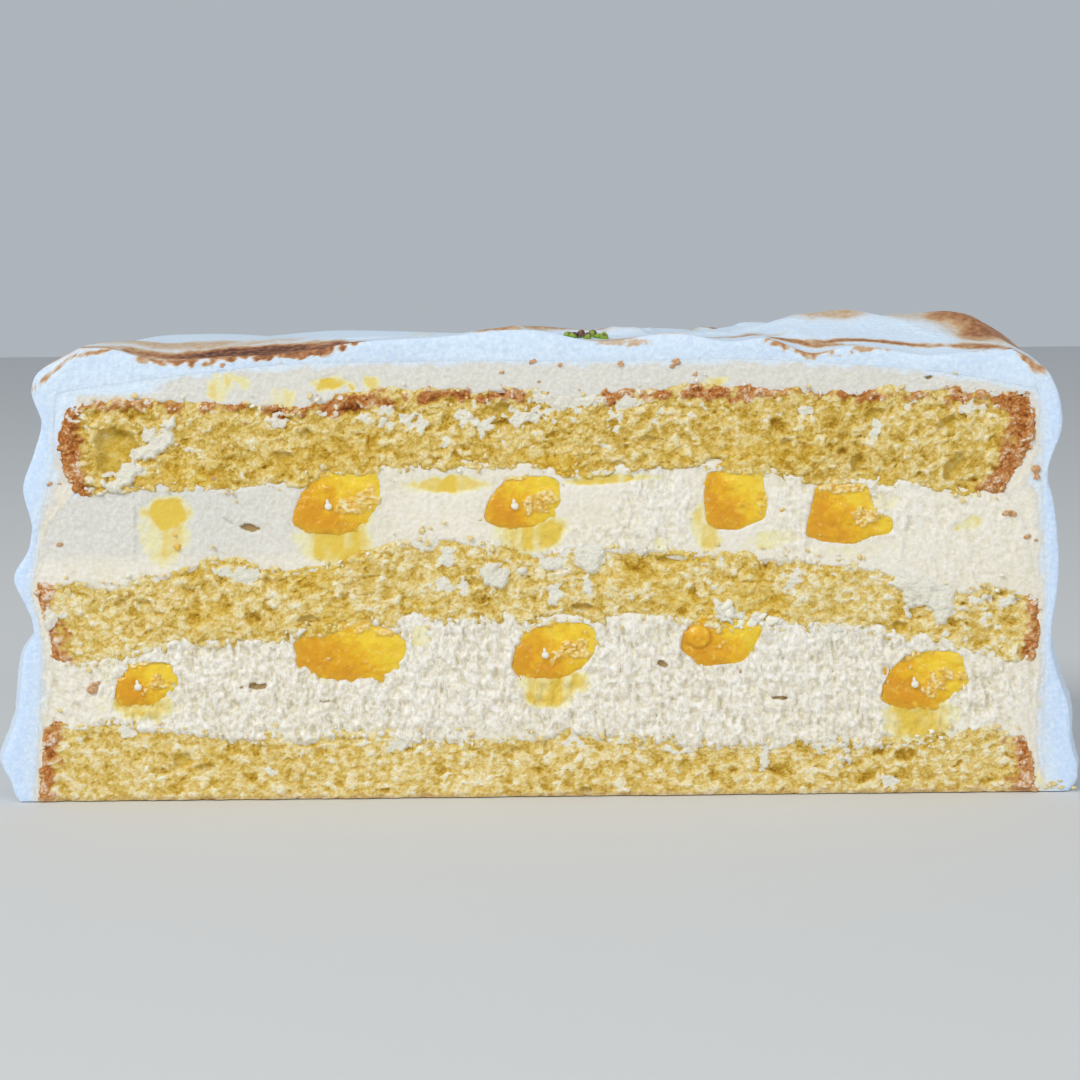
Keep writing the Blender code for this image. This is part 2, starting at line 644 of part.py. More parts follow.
def build():
    for old in list(bpy.data.objects):
        bpy.data.objects.remove(old)
    cake = bpy.data.collections.new(CAKE_NAME)
    cutters = bpy.data.collections.new("cutters")
    bpy.context.scene.collection.children.link(cake)
    bpy.context.scene.collection.children.link(cutters)

    sponge = material("sponge", *SPONGE_LOOK)
    cream = material("cream", *CREAM_LOOK)
    curd = material("curd", *CURD_LOOK)
    meringue_finish = material("meringue", *MERINGUE_LOOK)

    solids = {}
    for name, below in (("sponge_bottom", 0), ("cream_lower", 1), ("sponge_middle", 2),
                        ("cream_upper", 3), ("sponge_top", 4)):
        solids[name] = layer(name, below)
    solids["cream_coat"] = coat_block()
    solids["meringue"] = meringue_block()
    for piece in curds(LOWER_RINGS, LOWER_DROP) + curds(UPPER_RINGS, UPPER_DROP):
        solids[piece.name] = piece

    for name, solid in solids.items():
        cake.objects.link(solid)
        finish = sponge if name.startswith("sponge") else cream
        finish = curd if name.startswith("curd") else finish
        finish = meringue_finish if name == "meringue" else finish
        solid.data.materials.append(finish)

    for cream_name, sponge_name, below, rings, drop in (
            ("cream_lower", "sponge_middle", 2, LOWER_RINGS, LOWER_DROP),
            ("cream_upper", "sponge_top", 4, UPPER_RINGS, UPPER_DROP)):
        for cutter in curds(rings, drop, GAP, "room_for_"):
            use_cutter(solids[cream_name], cutter, cutters)
        pressing = pressing_sponge("under_" + sponge_name, below)
        for name in list(rings) + list(drop):
            use_cutter(solids[name], pressing, cutters)
    for i, (name, *place) in enumerate(POCKETS):
        use_cutter(solids[name], pocket_cutter("pocket_%d" % i, *place), cutters)
    use_cutter(solids["cream_coat"], core_cutter(), cutters)
    use_cutter(solids["meringue"], coat_cutter(), cutters)
    fuse(solids["meringue"], pistachio_nibs())


build()
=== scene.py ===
# %% [markdown]
# # Half a lemon layer cake
# The real cake is three sponges with whipped cream and rings of lemon curd between them, a coat of
# the same cream, and torched meringue over everything but the cut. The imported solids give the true
# sizes. Here each of them gets its fine surface: torn crumb, dragged cream, wet curd, burnt ridges.

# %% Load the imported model
import math

import bpy
import bmesh
import numpy as np
from mathutils import Matrix, Vector


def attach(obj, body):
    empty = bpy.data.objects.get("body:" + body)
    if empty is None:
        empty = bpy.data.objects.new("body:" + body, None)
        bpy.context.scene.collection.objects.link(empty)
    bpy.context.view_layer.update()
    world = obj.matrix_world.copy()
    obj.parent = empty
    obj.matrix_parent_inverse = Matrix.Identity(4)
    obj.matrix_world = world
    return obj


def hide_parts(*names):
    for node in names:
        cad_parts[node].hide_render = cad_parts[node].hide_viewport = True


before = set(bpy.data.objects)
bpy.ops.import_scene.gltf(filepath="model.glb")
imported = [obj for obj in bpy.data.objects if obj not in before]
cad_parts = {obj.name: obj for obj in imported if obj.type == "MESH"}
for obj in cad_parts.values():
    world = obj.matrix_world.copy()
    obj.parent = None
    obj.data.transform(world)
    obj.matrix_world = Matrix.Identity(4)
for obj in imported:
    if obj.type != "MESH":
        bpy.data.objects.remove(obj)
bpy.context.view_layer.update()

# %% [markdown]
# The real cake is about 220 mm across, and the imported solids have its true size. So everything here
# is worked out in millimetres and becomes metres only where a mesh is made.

MM = 0.001

# %% [markdown]
# The camera comes first, because everything else is judged through it. The photograph looks a
# little down on the cut from about arm's length, so a long lens stands 600 mm in front of the cut,
# just above the height of the top. The cake's base isn't quite level in the picture, so the camera
# is turned by a little more than half a degree.

# %% Camera
DEPTH = 108.5               # of the half cake; its middle is at y = 0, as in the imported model
CAMERA_LENS = 100.0
CAMERA_SENSOR = 36.0
CAMERA_AWAY = 600.0
CAMERA_HEIGHT = 103.0
CAMERA_AIM = (0.75, 52.0)
CAMERA_ROLL = math.radians(0.6)

camera_data = bpy.data.cameras.new("camera")
camera_data.lens = CAMERA_LENS
camera_data.sensor_width = CAMERA_SENSOR
camera_data.clip_start = 0.01
camera = bpy.data.objects.new("camera", camera_data)
bpy.context.scene.collection.objects.link(camera)
eye = Vector((CAMERA_AIM[0], -DEPTH / 2 - CAMERA_AWAY, CAMERA_HEIGHT))
aim = Vector((CAMERA_AIM[0], -DEPTH / 2, CAMERA_AIM[1]))
facing = (aim - eye).to_track_quat("-Z", "Y").to_matrix() @ Matrix.Rotation(-CAMERA_ROLL, 3, "Z")
camera.matrix_world = Matrix.Translation(eye * MM) @ facing.to_4x4()
bpy.context.scene.camera = camera
print("camera at", [round(v, 3) for v in eye * MM])

# %% [markdown]
# Many small things have their own place on the cut: a smear of cream, a stain of curd, a hole. Each
# was read off as a box in the photograph's pixels. The camera is known, so a ray through a pixel
# finds its place on the cut in millimetres. One pixel there is a fifth of a millimetre.

# %% From the photograph's pixels to the cut
PHOTO_SIDE = 1080
REACH = PHOTO_SIDE * CAMERA_LENS / CAMERA_SENSOR
PIXEL = CAMERA_AWAY / REACH


def on_cut(px, py):
    """The place on the cut, as x and z in millimetres, that a pixel shows."""
    half = PHOTO_SIDE / 2
    ray = facing @ Vector(((px - half) / REACH, (half - py) / REACH, -1.0))
    share = CAMERA_AWAY / ray.y
    return eye.x + share * ray.x, eye.z + share * ray.z


def ovals(boxes):
    """Ovals in millimetres: x, z, width, height, turn and strength.

    Each box is left, top, right and bottom in pixels, a turn about its middle, and a strength.
    """
    made = []
    for left, top, right, bottom, turn, strength in boxes:
        x, z = on_cut((left + right) / 2, (top + bottom) / 2)
        made.append((x, z, (right - left) * PIXEL, (bottom - top) * PIXEL, turn, strength))
    return made


print("one pixel on the cut is", round(PIXEL, 3), "mm")

# %% [markdown]
# Every layer is bounded by lines that were read along the cut, in millimetres. The same named
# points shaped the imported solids, so the fine surfaces land on them.

# %% Heights of the layers' faces along the cut
CAKE_RADIUS = 100.0
FADE_DEPTH = 22.0
SLAB_TOP = 88.0
SLAB_FALL = 6.2

SPONGE_BOTTOM_ROOF = ((-102, 15.4), (-90, 16.0), (-75, 15.0), (-62, 13.3), (-35, 13.7), (-6, 12.4),
                      (5, 13.7), (28, 11.0), (60, 11.5), (74, 10.3), (87, 12.9), (102, 10.6))
SPONGE_MIDDLE_FLOOR = ((-102, 31.0), (-93, 27.4), (-86, 28.6), (-76, 31.0), (-53, 32.3), (-38, 34.6),
                       (0, 35.3), (28, 34.9), (60, 32.4), (77, 30.4), (95, 26.5), (102, 26.5))
SPONGE_MIDDLE_ROOF = ((-102, 43.4), (-92, 45.0), (-83, 43.9), (-65, 48.9), (-52, 46.4), (-40, 47.6),
                      (-28, 51.9), (-18, 52.8), (-3, 50.0), (12, 50.3), (40, 49.2), (55, 47.8),
                      (71, 44.8), (83, 40.8), (91, 41.9), (102, 37.6))
SPONGE_TOP_FLOOR = ((-98, 62.6), (-58, 62.7), (-40, 65.5), (-3, 66.1), (15, 65.1), (28, 66.1),
                    (55, 63.8), (76, 61.8), (98, 60.7))
SPONGE_TOP_ROOF = ((-98, 79.0), (-88, 80.3), (-74, 80.1), (-61, 79.3), (-49, 79.2), (-35, 81.8),
                   (0, 81.5), (9, 80.5), (17, 81.7), (60, 81.1), (90, 80.9), (100, 80.2))
MERINGUE_EDGE = ((-92, 91.4), (-85, 91.2), (-77, 89.0), (-63, 89.2), (-47, 90.2), (-35, 92.0),
                 (-20, 92.8), (0, 94.0), (13, 91.6), (28, 93.2), (40, 91.4), (46, 92.0), (56, 88.8),
                 (62, 90.0), (80, 88.3), (92, 89.2))
LAYER_LINES = (SPONGE_BOTTOM_ROOF, SPONGE_MIDDLE_FLOOR, SPONGE_MIDDLE_ROOF, SPONGE_TOP_FLOOR,
               SPONGE_TOP_ROOF)
print("mean heights of the layers' faces, mm:",
      [round(sum(z for _, z in line) / len(line), 1) for line in LAYER_LINES])

# %% [markdown]
# The real cake's sides aren't upright: the sponges bulge, and the fillings between them draw in. A
# plain cylinder would lose that. So pairs of lines say for each height how far the sponges, the
# cream coat and the meringue reach from the middle. The shape blends from one line of a pair to the
# other on its way round the back.

# %% How far the sides stand out, by height, at the left and right ends of the cut
CORE_LEFT = ((0, 100.4), (12, 99.6), (17, 99.0), (24, 97.6), (29, 97.6), (36, 98.9), (43, 100.4),
             (48, 99.3), (57, 97.0), (62.5, 92.4), (67, 94.2), (73, 94.8), (80, 93.4))
CORE_RIGHT = ((0, 100.4), (10, 98.9), (17, 98.6), (26, 99.6), (31, 100.6), (39, 100.5), (46, 99.2),
              (57, 96.5), (61, 94.0), (65, 96.0), (69, 98.2), (74, 99.6), (80, 98.4))
COAT_LEFT = ((0, 102.0), (12, 101.0), (20, 100.3), (30, 99.8), (36, 100.2), (43, 101.7), (50, 100.8),
             (60, 98.8), (67, 96.8), (73, 96.4), (82, 95.6))
COAT_RIGHT = ((0, 102.6), (10, 101.8), (30, 102.2), (40, 102.2), (55, 101.7), (65, 101.5),
              (74, 101.6), (82, 100.6))
MERINGUE_LEFT = ((0, 105.0), (3, 107.8), (8, 110.6), (12, 109.4), (17, 107.4), (26, 106.2),
                 (31, 105.0), (35, 102.2), (40, 103.6), (46, 105.2), (51, 102.2), (56, 101.2),
                 (64, 102.8), (71, 100.4), (77, 98.8), (84, 100.6), (87, 99.4), (92, 91.0))
MERINGUE_RIGHT = ((0, 107.2), (3, 110.4), (10, 109.8), (18, 109.2), (24, 107.2), (30, 105.6),
                  (45, 105.2), (56, 104.5), (62, 103.6), (67, 102.4), (71, 103.8), (75, 105.4),
                  (80, 105.4), (85, 104.0), (88, 102.2), (92, 95.6))
print("the meringue reaches", max(reach for _, reach in MERINGUE_LEFT), "mm to the left and",
      max(reach for _, reach in MERINGUE_RIGHT), "mm to the right")

# %% [markdown]
# The lines of a cut cake are smooth from point to point. Blender could hold them as curve objects.
# Here they are functions, because a function can be asked for its height at a hundred thousand
# places at once. Each passes through its points and keeps its slope there.

# %% Smooth lines and steps
def curve_through(points):
    """A smooth line through (place, height) points, level beyond both ends."""
    places, heights = np.array(points, float).T
    slopes = np.gradient(heights, places)

    def height(place):
        place = np.clip(place, places[0], places[-1])
        i = np.clip(np.searchsorted(places, place) - 1, 0, len(places) - 2)
        span = places[i + 1] - places[i]
        t = (place - places[i]) / span
        line = heights[i] * (1 + 2 * t) * (1 - t) ** 2 + heights[i + 1] * t * t * (3 - 2 * t)
        bend = slopes[i] * t * (1 - t) ** 2 - slopes[i + 1] * t * t * (1 - t)
        return line + span * bend

    return height


def smooth_step(value):
    value = np.clip(value, 0.0, 1.0)
    return value * value * (3 - 2 * value)


def swell(x, y, wavelength, seed):
    """Gentle hills of about one unit, from a few crossing waves."""
    rng = np.random.default_rng(seed)
    total = 0.0
    for turn, phase, stretch in zip(rng.uniform(0, math.pi, 5), rng.uniform(0, 2 * math.pi, 5),
                                    rng.uniform(0.7, 1.5, 5)):
        along = x * math.cos(turn) + y * math.sin(turn)
        total = total + np.sin(along * stretch * 2 * math.pi / wavelength + phase)
    return total / 2.5


print("the bottom sponge is", round(float(curve_through(SPONGE_BOTTOM_ROOF)(0.0)), 1),
      "mm thick in the middle of the cut")

# %% [markdown]
# Crumb and cream need random detail that is the same each run. Two kinds do for everything: soft
# hills on a lattice, and scattered cells for crumbs. Both come from one fixed table, so they can be
# worked out for a hundred thousand points at once.

# %% Random hills and cells
CHANCE = np.random.default_rng(20).random(8192)


def chance(i, j, k, seed):
    """A fixed random share for each lattice point."""
    key = i * 73856093 ^ j * 19349663 ^ k * 83492791 ^ seed * 961748927
    key = key ^ (key >> 13)
    key = key * 1274126177
    return CHANCE[(key ^ (key >> 16)) & 8191]


def hills(x, y, z, size, seed):
    """Smooth random hills from -1 to 1, about one to each size."""
    places = [np.asarray(a, float) / size for a in np.broadcast_arrays(x, y, z)]
    lows = [np.floor(a).astype(np.int64) for a in places]
    parts = [smooth_step(a - low) for a, low in zip(places, lows)]
    total = 0.0
    for corner in range(8):
        bits = [corner >> axis & 1 for axis in range(3)]
        weight = 1.0
        for part, bit in zip(parts, bits):
            weight = weight * (part if bit else 1 - part)
        total = total + weight * chance(*(low + bit for low, bit in zip(lows, bits)), seed)
    return 2 * total - 1


def rough(x, y, z, size, seed, octaves=3):
    """Hills on hills, each half the size and half the height of the last."""
    total = 0.0
    for octave in range(octaves):
        total = total + hills(x, y, z, size / 2 ** octave, seed + octave) / 2 ** octave
    return total


def cells(x, z, size, seed):
    """The distance to the nearest of scattered points, in cells, and that point's own chance."""
    x = x / size
    z = z / size
    column = np.floor(x).astype(np.int64)
    row = np.floor(z).astype(np.int64)
    nearest = np.full(x.shape, 9.0)
    pick = np.zeros(x.shape)
    for i in (-1, 0, 1):
        for j in (-1, 0, 1):
            across = column + i + chance(column + i, row + j, 1, seed)
            up = row + j + chance(column + i, row + j, 2, seed)
            away = np.hypot(across - x, up - z)
            closer = away < nearest
            nearest = np.where(closer, away, nearest)
            pick = np.where(closer, chance(column + i, row + j, 3, seed), pick)
    return nearest, pick


def field(x, z, places, ragged=0.3, soft=0.5, seed=5):
    """The strongest of several ragged ovals at each point of a face."""
    total = np.zeros(np.shape(x))
    for px, pz, wide, high, turn, strength in places:
        reach = 0.9 * max(wide, high) + 1.5
        near = (np.abs(x - px) < reach) & (np.abs(z - pz) < reach)
        across = x[near] - px
        up = z[near] - pz
        along = across * math.cos(turn) + up * math.sin(turn)
        aside = up * math.cos(turn) - across * math.sin(turn)
        away = np.hypot(2 * along / wide, 2 * aside / high)
        edge = ragged * rough(x[near], z[near], 0.0, 0.35 * min(wide, high) + 0.6, seed)
        inside = strength * smooth_step((1 + edge - away) / soft + 0.5)
        total[near] = np.maximum(total[near], inside)
    return total


sample = hills(np.arange(500), 0.0, 0.0, 3.0, 1)
print("hills run from", round(float(sample.min()), 2), "to", round(float(sample.max()), 2))

# %% [markdown]
# A half-round piece is made in one way: a finely cut patch for the face that shows at the cut, and
# the patch's border swept round to the back. Modifiers could shape a block like this, but they cut
# it as finely inside as in front. Here the hidden part stays coarse.

# %% Sweep a front patch round to the back
CRISP_EDGE = math.radians(62)


def closed_mesh(name, points, faces, marks):
    """An object from points in millimetres, with named numbers for the finish to read."""
    mesh = bpy.data.meshes.new(name)
    place = np.array(points, float)
    place[:, 1] -= DEPTH / 2
    mesh.from_pydata((place * MM).tolist(), [], faces)
    for label, values in marks.items():
        layer = mesh.attributes.new(label, "FLOAT", "POINT")
        layer.data.foreach_set("value", np.ascontiguousarray(values, np.float32))
    bm = bmesh.new()
    bm.from_mesh(mesh)
    bmesh.ops.remove_doubles(bm, verts=bm.verts[:], dist=1e-6)
    bmesh.ops.recalc_face_normals(bm, faces=bm.faces[:])
    bm.to_mesh(mesh)
    bm.free()
    mesh.shade_smooth()
    mesh.set_sharp_from_angle(angle=CRISP_EDGE)
    made = bpy.data.objects.new(name, mesh)
    bpy.context.scene.collection.objects.link(made)
    print(name, len(mesh.vertices), "points")
    return made


def border_of(across, up):
    """The grid places along a patch's border, once round: floor, right, roof, left."""
    floor = [(i, 0) for i in range(across - 1)]
    right = [(across - 1, j) for j in range(up - 1)]
    roof = [(i, up - 1) for i in range(across - 1, 0, -1)]
    left = [(0, j) for j in range(up - 1, 0, -1)]
    return np.array(floor + right + roof + left)


def swept_piece(name, patch, border, picks, rows, marks, row_marks=None):
    """A closed piece: patch is the cut face's grid of points, rows carry its border to the back.

    picks are the places in the border that the rows start from, so a hidden side can be coarse.
    """
    across, up = patch.shape[:2]
    index = np.arange(across * up).reshape(across, up)
    quads = np.stack([index[:-1, :-1], index[1:, :-1], index[1:, 1:], index[:-1, 1:]], -1)
    faces = quads.reshape(-1, 4).tolist()
    ring = index[border[:, 0], border[:, 1]]
    count = len(picks)
    first = across * up + np.arange(count)
    for i in range(count):
        j = (i + 1) % count
        stop = picks[j] if j else len(ring)
        fine = [int(ring[k % len(ring)]) for k in range(picks[i], stop + 1)]
        faces.append(fine[::-1] + [int(first[i]), int(first[j])])
    for k in range(rows.shape[0] - 1):
        near = first + k * count
        far = near + count
        quads = np.stack([near, far, np.roll(far, -1), np.roll(near, -1)], -1)
        faces += quads.tolist()
    points = np.concatenate([patch.reshape(-1, 3), rows.reshape(-1, 3)])
    full = {}
    for label, values in marks.items():
        behind = np.zeros(rows.shape[:2]) if row_marks is None else row_marks[label]
        full[label] = np.concatenate([np.ravel(values), np.ravel(behind)])
    return closed_mesh(name, points, faces, full)

# %% [markdown]
# The faces between the layers are the lines along the cut, fading to gentle hills behind it. Close
# up, the line between sponge and cream is ragged, so both sides share one small random shift.

# %% Faces and sides of the layers
def layer_face(points, seed):
    along_cut = curve_through(points)
    mean = float(np.mean([height for _, height in points[1:-1]]))

    def height(x, y):
        near = np.exp(-(y / FADE_DEPTH) ** 2)
        ragged = 0.6 * hills(x, 0.0, 0.0, 6.0, seed) + 0.45 * hills(x, 0.0, 0.0, 2.1, seed + 9)
        behind = 0.5 * swell(x, y, 70.0, seed)
        return mean + near * (along_cut(x) + ragged * np.exp(-y) - mean) + (1 - near) * behind

    return height


def base(x, y):
    return 0.0 * x


FACES = [base] + [layer_face(line, seed) for seed, line in enumerate(LAYER_LINES, 1)]


def side_radius(left, right):
    left_line = curve_through(left)
    right_line = curve_through(right)

    def radius(across, z):
        share = smooth_step((across + 1) / 2)
        return left_line(z) * (1 - share) + right_line(z) * share

    return radius


core_radius = side_radius(CORE_LEFT, CORE_RIGHT)
coat_radius = side_radius(COAT_LEFT, COAT_RIGHT)
print("40 mm up, the sponges reach", round(float(core_radius(-1.0, 40.0)), 1), "mm to the left and",
      round(float(core_radius(1.0, 40.0)), 1), "mm to the right")

# %% [markdown]
# A layer's patch reaches a little past its own edges, and falls back there. Where two layers meet,
# the one that stands further out at that point shows, so crumbs poke into the cream and cream fills
# the hollows beside them, as a knife leaves them.

# %% One layer of the cake
SKIP = 8                    # fine steps of a patch's border to one coarse step behind it


def layer_piece(name, below, cell, margin, flat, slope, surface):
    """A layer with a fine cut face. surface gives the relief and the marks of each point.

    The face reaches margin past the layer's edges, and falls back by slope from flat on.
    """
    low = FACES[below]
    high = FACES[below + 1]
    rests = below == 0
    along = np.linspace(-CAKE_RADIUS, CAKE_RADIUS, 50)
    thickest = float(np.max(high(along, 0.0) - low(along, 0.0)))
    across = SKIP * int(2 * CAKE_RADIUS / cell / SKIP) + 1
    up = SKIP * int((thickest + 2 * margin) / cell / SKIP) + 1
    u, w = np.meshgrid(np.linspace(-1, 1, across), np.linspace(0, 1, up), indexing="ij")
    floor = low(CAKE_RADIUS * u, 0.0)
    roof = high(CAKE_RADIUS * u, 0.0)
    bottom = floor if rests else floor - margin
    z = bottom + w * (roof + margin - bottom)
    radius = core_radius(u, np.clip(z, floor, roof))
    x = (radius + margin) * u
    beyond = np.maximum(z - roof, np.abs(x) - radius)
    if not rests:
        beyond = np.maximum(beyond, floor - z)
    relief, marks = surface(x, z, roof - z, z - floor, radius - np.abs(x))
    y = relief + slope * np.maximum(beyond - flat, 0.0)
    patch = np.stack([x, y, z], -1)

    border = border_of(across, up)
    picks = np.arange(0, len(border), SKIP)
    ends = u[tuple(border[picks].T)]
    share = w[tuple(border[picks].T)]
    angles = np.radians([2.0, 12, 24, 38, 52, 66, 80, 90])[:, None]
    hx = ends * np.cos(angles)
    hy = np.sin(angles) + 0 * ends
    deep_low = low(CAKE_RADIUS * hx, CAKE_RADIUS * hy)
    deep_high = high(CAKE_RADIUS * hx, CAKE_RADIUS * hy)
    deep_z = deep_low + share * (deep_high - deep_low)
    reach = core_radius(ends, deep_z) - 0.1
    rows = np.stack([reach * hx, reach * hy, deep_z], -1)
    return swept_piece(name, patch, border, picks, rows, marks)

# %% [markdown]
# ## Sponge
# The cut sponge is torn crumb: small flaky lumps of two sizes with gold between them, and a few
# holes where air pockets were. Scattered cells make the lumps, hills bend them out of round. Cream
# is smeared over it in places, curd has soaked in, and the ends and the top are browned.

# %% Where the sponges have holes and smears of cream
HOLES = {
    "sponge_top": ovals((
        (98, 433, 137, 458, -0.1, 2.2), (99, 448, 119, 480, 0.1, 2.0), (868, 409, 885, 419, 0.1, 1.4),
        (938, 417, 957, 429, 0.6, 1.4), (848, 458, 864, 469, 1.2, 1.5), (940, 460, 968, 476, 0.95, 1.7),
        (493, 404, 513, 416, 0.0, 1.3), (275, 451, 292, 462, 0.0, 1.2), (781, 438, 791, 445, 0.0, 1.0),
        (300, 430, 310, 440, 0.0, 0.9), (640, 436, 660, 442, 0.0, 0.9), (705, 458, 722, 464, 0.0, 0.9))),
    "sponge_middle": ovals((
        (298, 616, 321, 625, 0.0, 1.2), (571, 604, 592, 610, -0.05, 1.5), (403, 614, 421, 625, 0.0, 1.1),
        (911, 596, 923, 607, 0.4, 1.2), (894, 622, 908, 631, 0.0, 1.1), (88, 583, 102, 590, 0.0, 1.0),
        (115, 600, 127, 607, 0.0, 1.0), (138, 600, 152, 606, 0.1, 0.9), (660, 556, 690, 563, 0.0, 1.1),
        (985, 596, 996, 604, 0.0, 1.1), (1012, 597, 1022, 606, 0.0, 1.2))),
    "sponge_bottom": ovals((
        (297, 739, 315, 746, 0.0, 1.2), (197, 764, 215, 771, 0.0, 1.2), (175, 753, 190, 769, 0.4, 0.9),
        (89, 719, 102, 727, 0.0, 1.0), (581, 787, 591, 793, 0.0, 1.2), (677, 761, 693, 775, 1.4, 0.9),
        (508, 748, 522, 753, 0.0, 0.8))),
}
SMEARS = {
    "sponge_top": ovals((
        (96, 449, 180, 467, 0.72, 1.0), (143, 430, 176, 449, 0.2, 1.0), (104, 473, 141, 491, 0.3, 0.95),
        (269, 416, 292, 427, 0.0, 0.9), (388, 404, 425, 427, -0.6, 0.6), (459, 407, 488, 429, -0.9, 0.65),
        (508, 402, 551, 420, 0.55, 0.75), (545, 390, 606, 410, -0.05, 0.85), (600, 400, 644, 415, 0.6, 0.75),
        (798, 407, 816, 416, 0.0, 0.7), (866, 420, 886, 431, 1.5, 0.75), (905, 398, 925, 410, 0.3, 0.6),
        (700, 402, 718, 412, 0.0, 0.6), (300, 407, 330, 420, 0.2, 0.6), (430, 440, 450, 450, 0.0, 0.5),
        (500, 428, 520, 440, 0.3, 0.55), (960, 400, 1000, 415, 0.0, 0.55), (820, 430, 850, 440, 0.0, 0.45),
        (590, 440, 612, 450, 0.0, 0.5), (655, 428, 680, 436, 0.0, 0.4), (225, 470, 260, 486, 0.1, 0.45),
        (165, 438, 215, 452, 0.1, 0.5), (590, 470, 650, 474, 0.02, 0.7), (365, 396, 716, 432, 0.0, 0.52),
        (110, 395, 310, 413, 0.0, 0.36), (740, 398, 1040, 438, 0.0, 0.34), (62, 400, 100, 425, 0.0, 0.5))),
    "sponge_middle": ovals((
        (406, 532, 432, 550, 0.0, 0.85), (438, 547, 461, 567, 0.0, 0.8), (479, 561, 516, 587, 0.3, 0.98),
        (534, 547, 563, 572, 0.4, 0.95), (560, 532, 608, 578, 0.25, 1.0), (575, 580, 600, 589, 1.5, 0.9),
        (456, 578, 476, 593, 0.2, 0.7), (435, 578, 456, 593, 0.0, 0.7), (542, 591, 567, 607, 1.2, 0.8),
        (594, 555, 609, 564, 1.4, 0.85), (615, 545, 650, 556, 0.1, 0.7), (630, 570, 670, 590, 0.6, 0.55),
        (700, 560, 730, 590, 0.3, 0.5), (770, 568, 810, 590, 1.3, 0.65), (870, 540, 905, 560, -0.3, 0.8),
        (904, 568, 970, 610, -0.75, 1.0), (930, 600, 960, 625, -0.3, 0.7), (960, 590, 1000, 610, 0.0, 0.6),
        (1000, 570, 1040, 600, 0.2, 0.65), (840, 590, 870, 615, 0.4, 0.45), (37, 609, 66, 626, 0.9, 0.85),
        (100, 570, 160, 582, 0.0, 0.6), (215, 565, 262, 580, -0.1, 0.8), (300, 560, 360, 575, 0.2, 0.4),
        (820, 560, 850, 580, 0.0, 0.5), (985, 620, 1012, 650, 0.4, 0.6), (940, 632, 975, 645, -0.1, 0.5),
        (600, 590, 640, 600, 0.0, 0.4), (715, 602, 742, 622, -0.1, 1.0), (738, 612, 776, 626, -0.2, 0.9),
        (410, 530, 860, 568, -0.05, 0.38), (880, 545, 1040, 640, -0.1, 0.44),
        (790, 624, 850, 634, 0.0, 0.7))),
    "sponge_bottom": ovals((
        (117, 727, 140, 740, 0.0, 0.8), (200, 728, 240, 740, 0.0, 0.55), (260, 744, 300, 752, 0.0, 0.5),
        (262, 771, 279, 782, 1.2, 0.65), (385, 735, 410, 752, 0.2, 0.8), (430, 738, 470, 750, 0.0, 0.6),
        (560, 728, 600, 745, 0.2, 0.6), (605, 738, 640, 748, -0.2, 0.6), (650, 738, 700, 756, -0.3, 0.65),
        (754, 750, 776, 759, 1.5, 0.8), (811, 733, 842, 752, 0.1, 0.9), (832, 745, 860, 759, 1.35, 0.95),
        (881, 776, 899, 790, -1.0, 0.85), (340, 740, 370, 750, 0.0, 0.5), (500, 735, 520, 745, 0.0, 0.5),
        (900, 745, 950, 755, 0.0, 0.4), (60, 726, 1020, 748, 0.01, 0.4))),
}
print("holes:", {node: len(places) for node, places in HOLES.items()})
print("smears:", {node: len(places) for node, places in SMEARS.items()})

# %% [markdown]
# Curd soaks into the crumb and turns it gold, and the oven browned the roof of the top sponge. Both
# could be painted on an image. A list of ovals is lighter and stays sharp at any distance, and the
# relief and the finish can share it.

# %% Where curd has soaked into the sponges, and where the top one is browned
STAINS = {
    "sponge_top": ovals((
        (142, 456, 208, 491, 0.1, 0.7), (188, 472, 208, 491, 0.0, 1.0), (285, 440, 400, 484, 0.1, 0.5),
        (415, 466, 490, 492, 0.0, 1.0), (512, 452, 590, 478, -0.1, 0.95), (563, 471, 655, 483, 0.05, 0.9),
        (360, 430, 380, 445, 0.0, 0.8), (690, 440, 790, 478, 0.1, 0.65), (860, 470, 900, 492, 0.2, 0.75),
        (940, 483, 1000, 495, 0.1, 0.7), (100, 440, 135, 480, 0.0, 0.6))),
    "sponge_middle": ovals((
        (170, 557, 224, 577, 0.15, 0.7), (238, 550, 266, 577, 0.0, 0.6), (282, 542, 370, 590, 0.3, 0.75),
        (430, 534, 462, 546, 0.0, 0.8), (490, 548, 570, 562, 0.05, 0.6), (619, 538, 660, 552, 0.1, 0.95),
        (662, 545, 730, 567, 0.0, 0.95), (395, 600, 430, 628, 0.1, 0.85), (286, 612, 400, 650, 0.1, 0.8),
        (670, 590, 780, 625, 0.0, 0.9), (730, 560, 770, 600, 0.3, 0.55), (820, 555, 850, 580, 0.2, 0.6),
        (180, 600, 230, 640, 0.2, 0.45), (905, 594, 925, 609, 0.4, 0.7), (880, 615, 960, 650, -0.2, 0.5),
        (600, 560, 680, 590, 0.1, 0.5))),
    "sponge_bottom": ovals((
        (138, 712, 160, 732, 1.2, 0.8), (88, 718, 103, 728, 0.0, 0.7), (295, 737, 317, 748, 0.0, 0.7),
        (175, 752, 217, 772, 0.0, 0.6), (890, 730, 955, 744, 0.0, 0.5), (454, 741, 465, 751, 0.0, 1.0),
        (676, 756, 694, 779, 1.4, 0.5), (560, 725, 600, 740, 0.1, 0.45))),
}
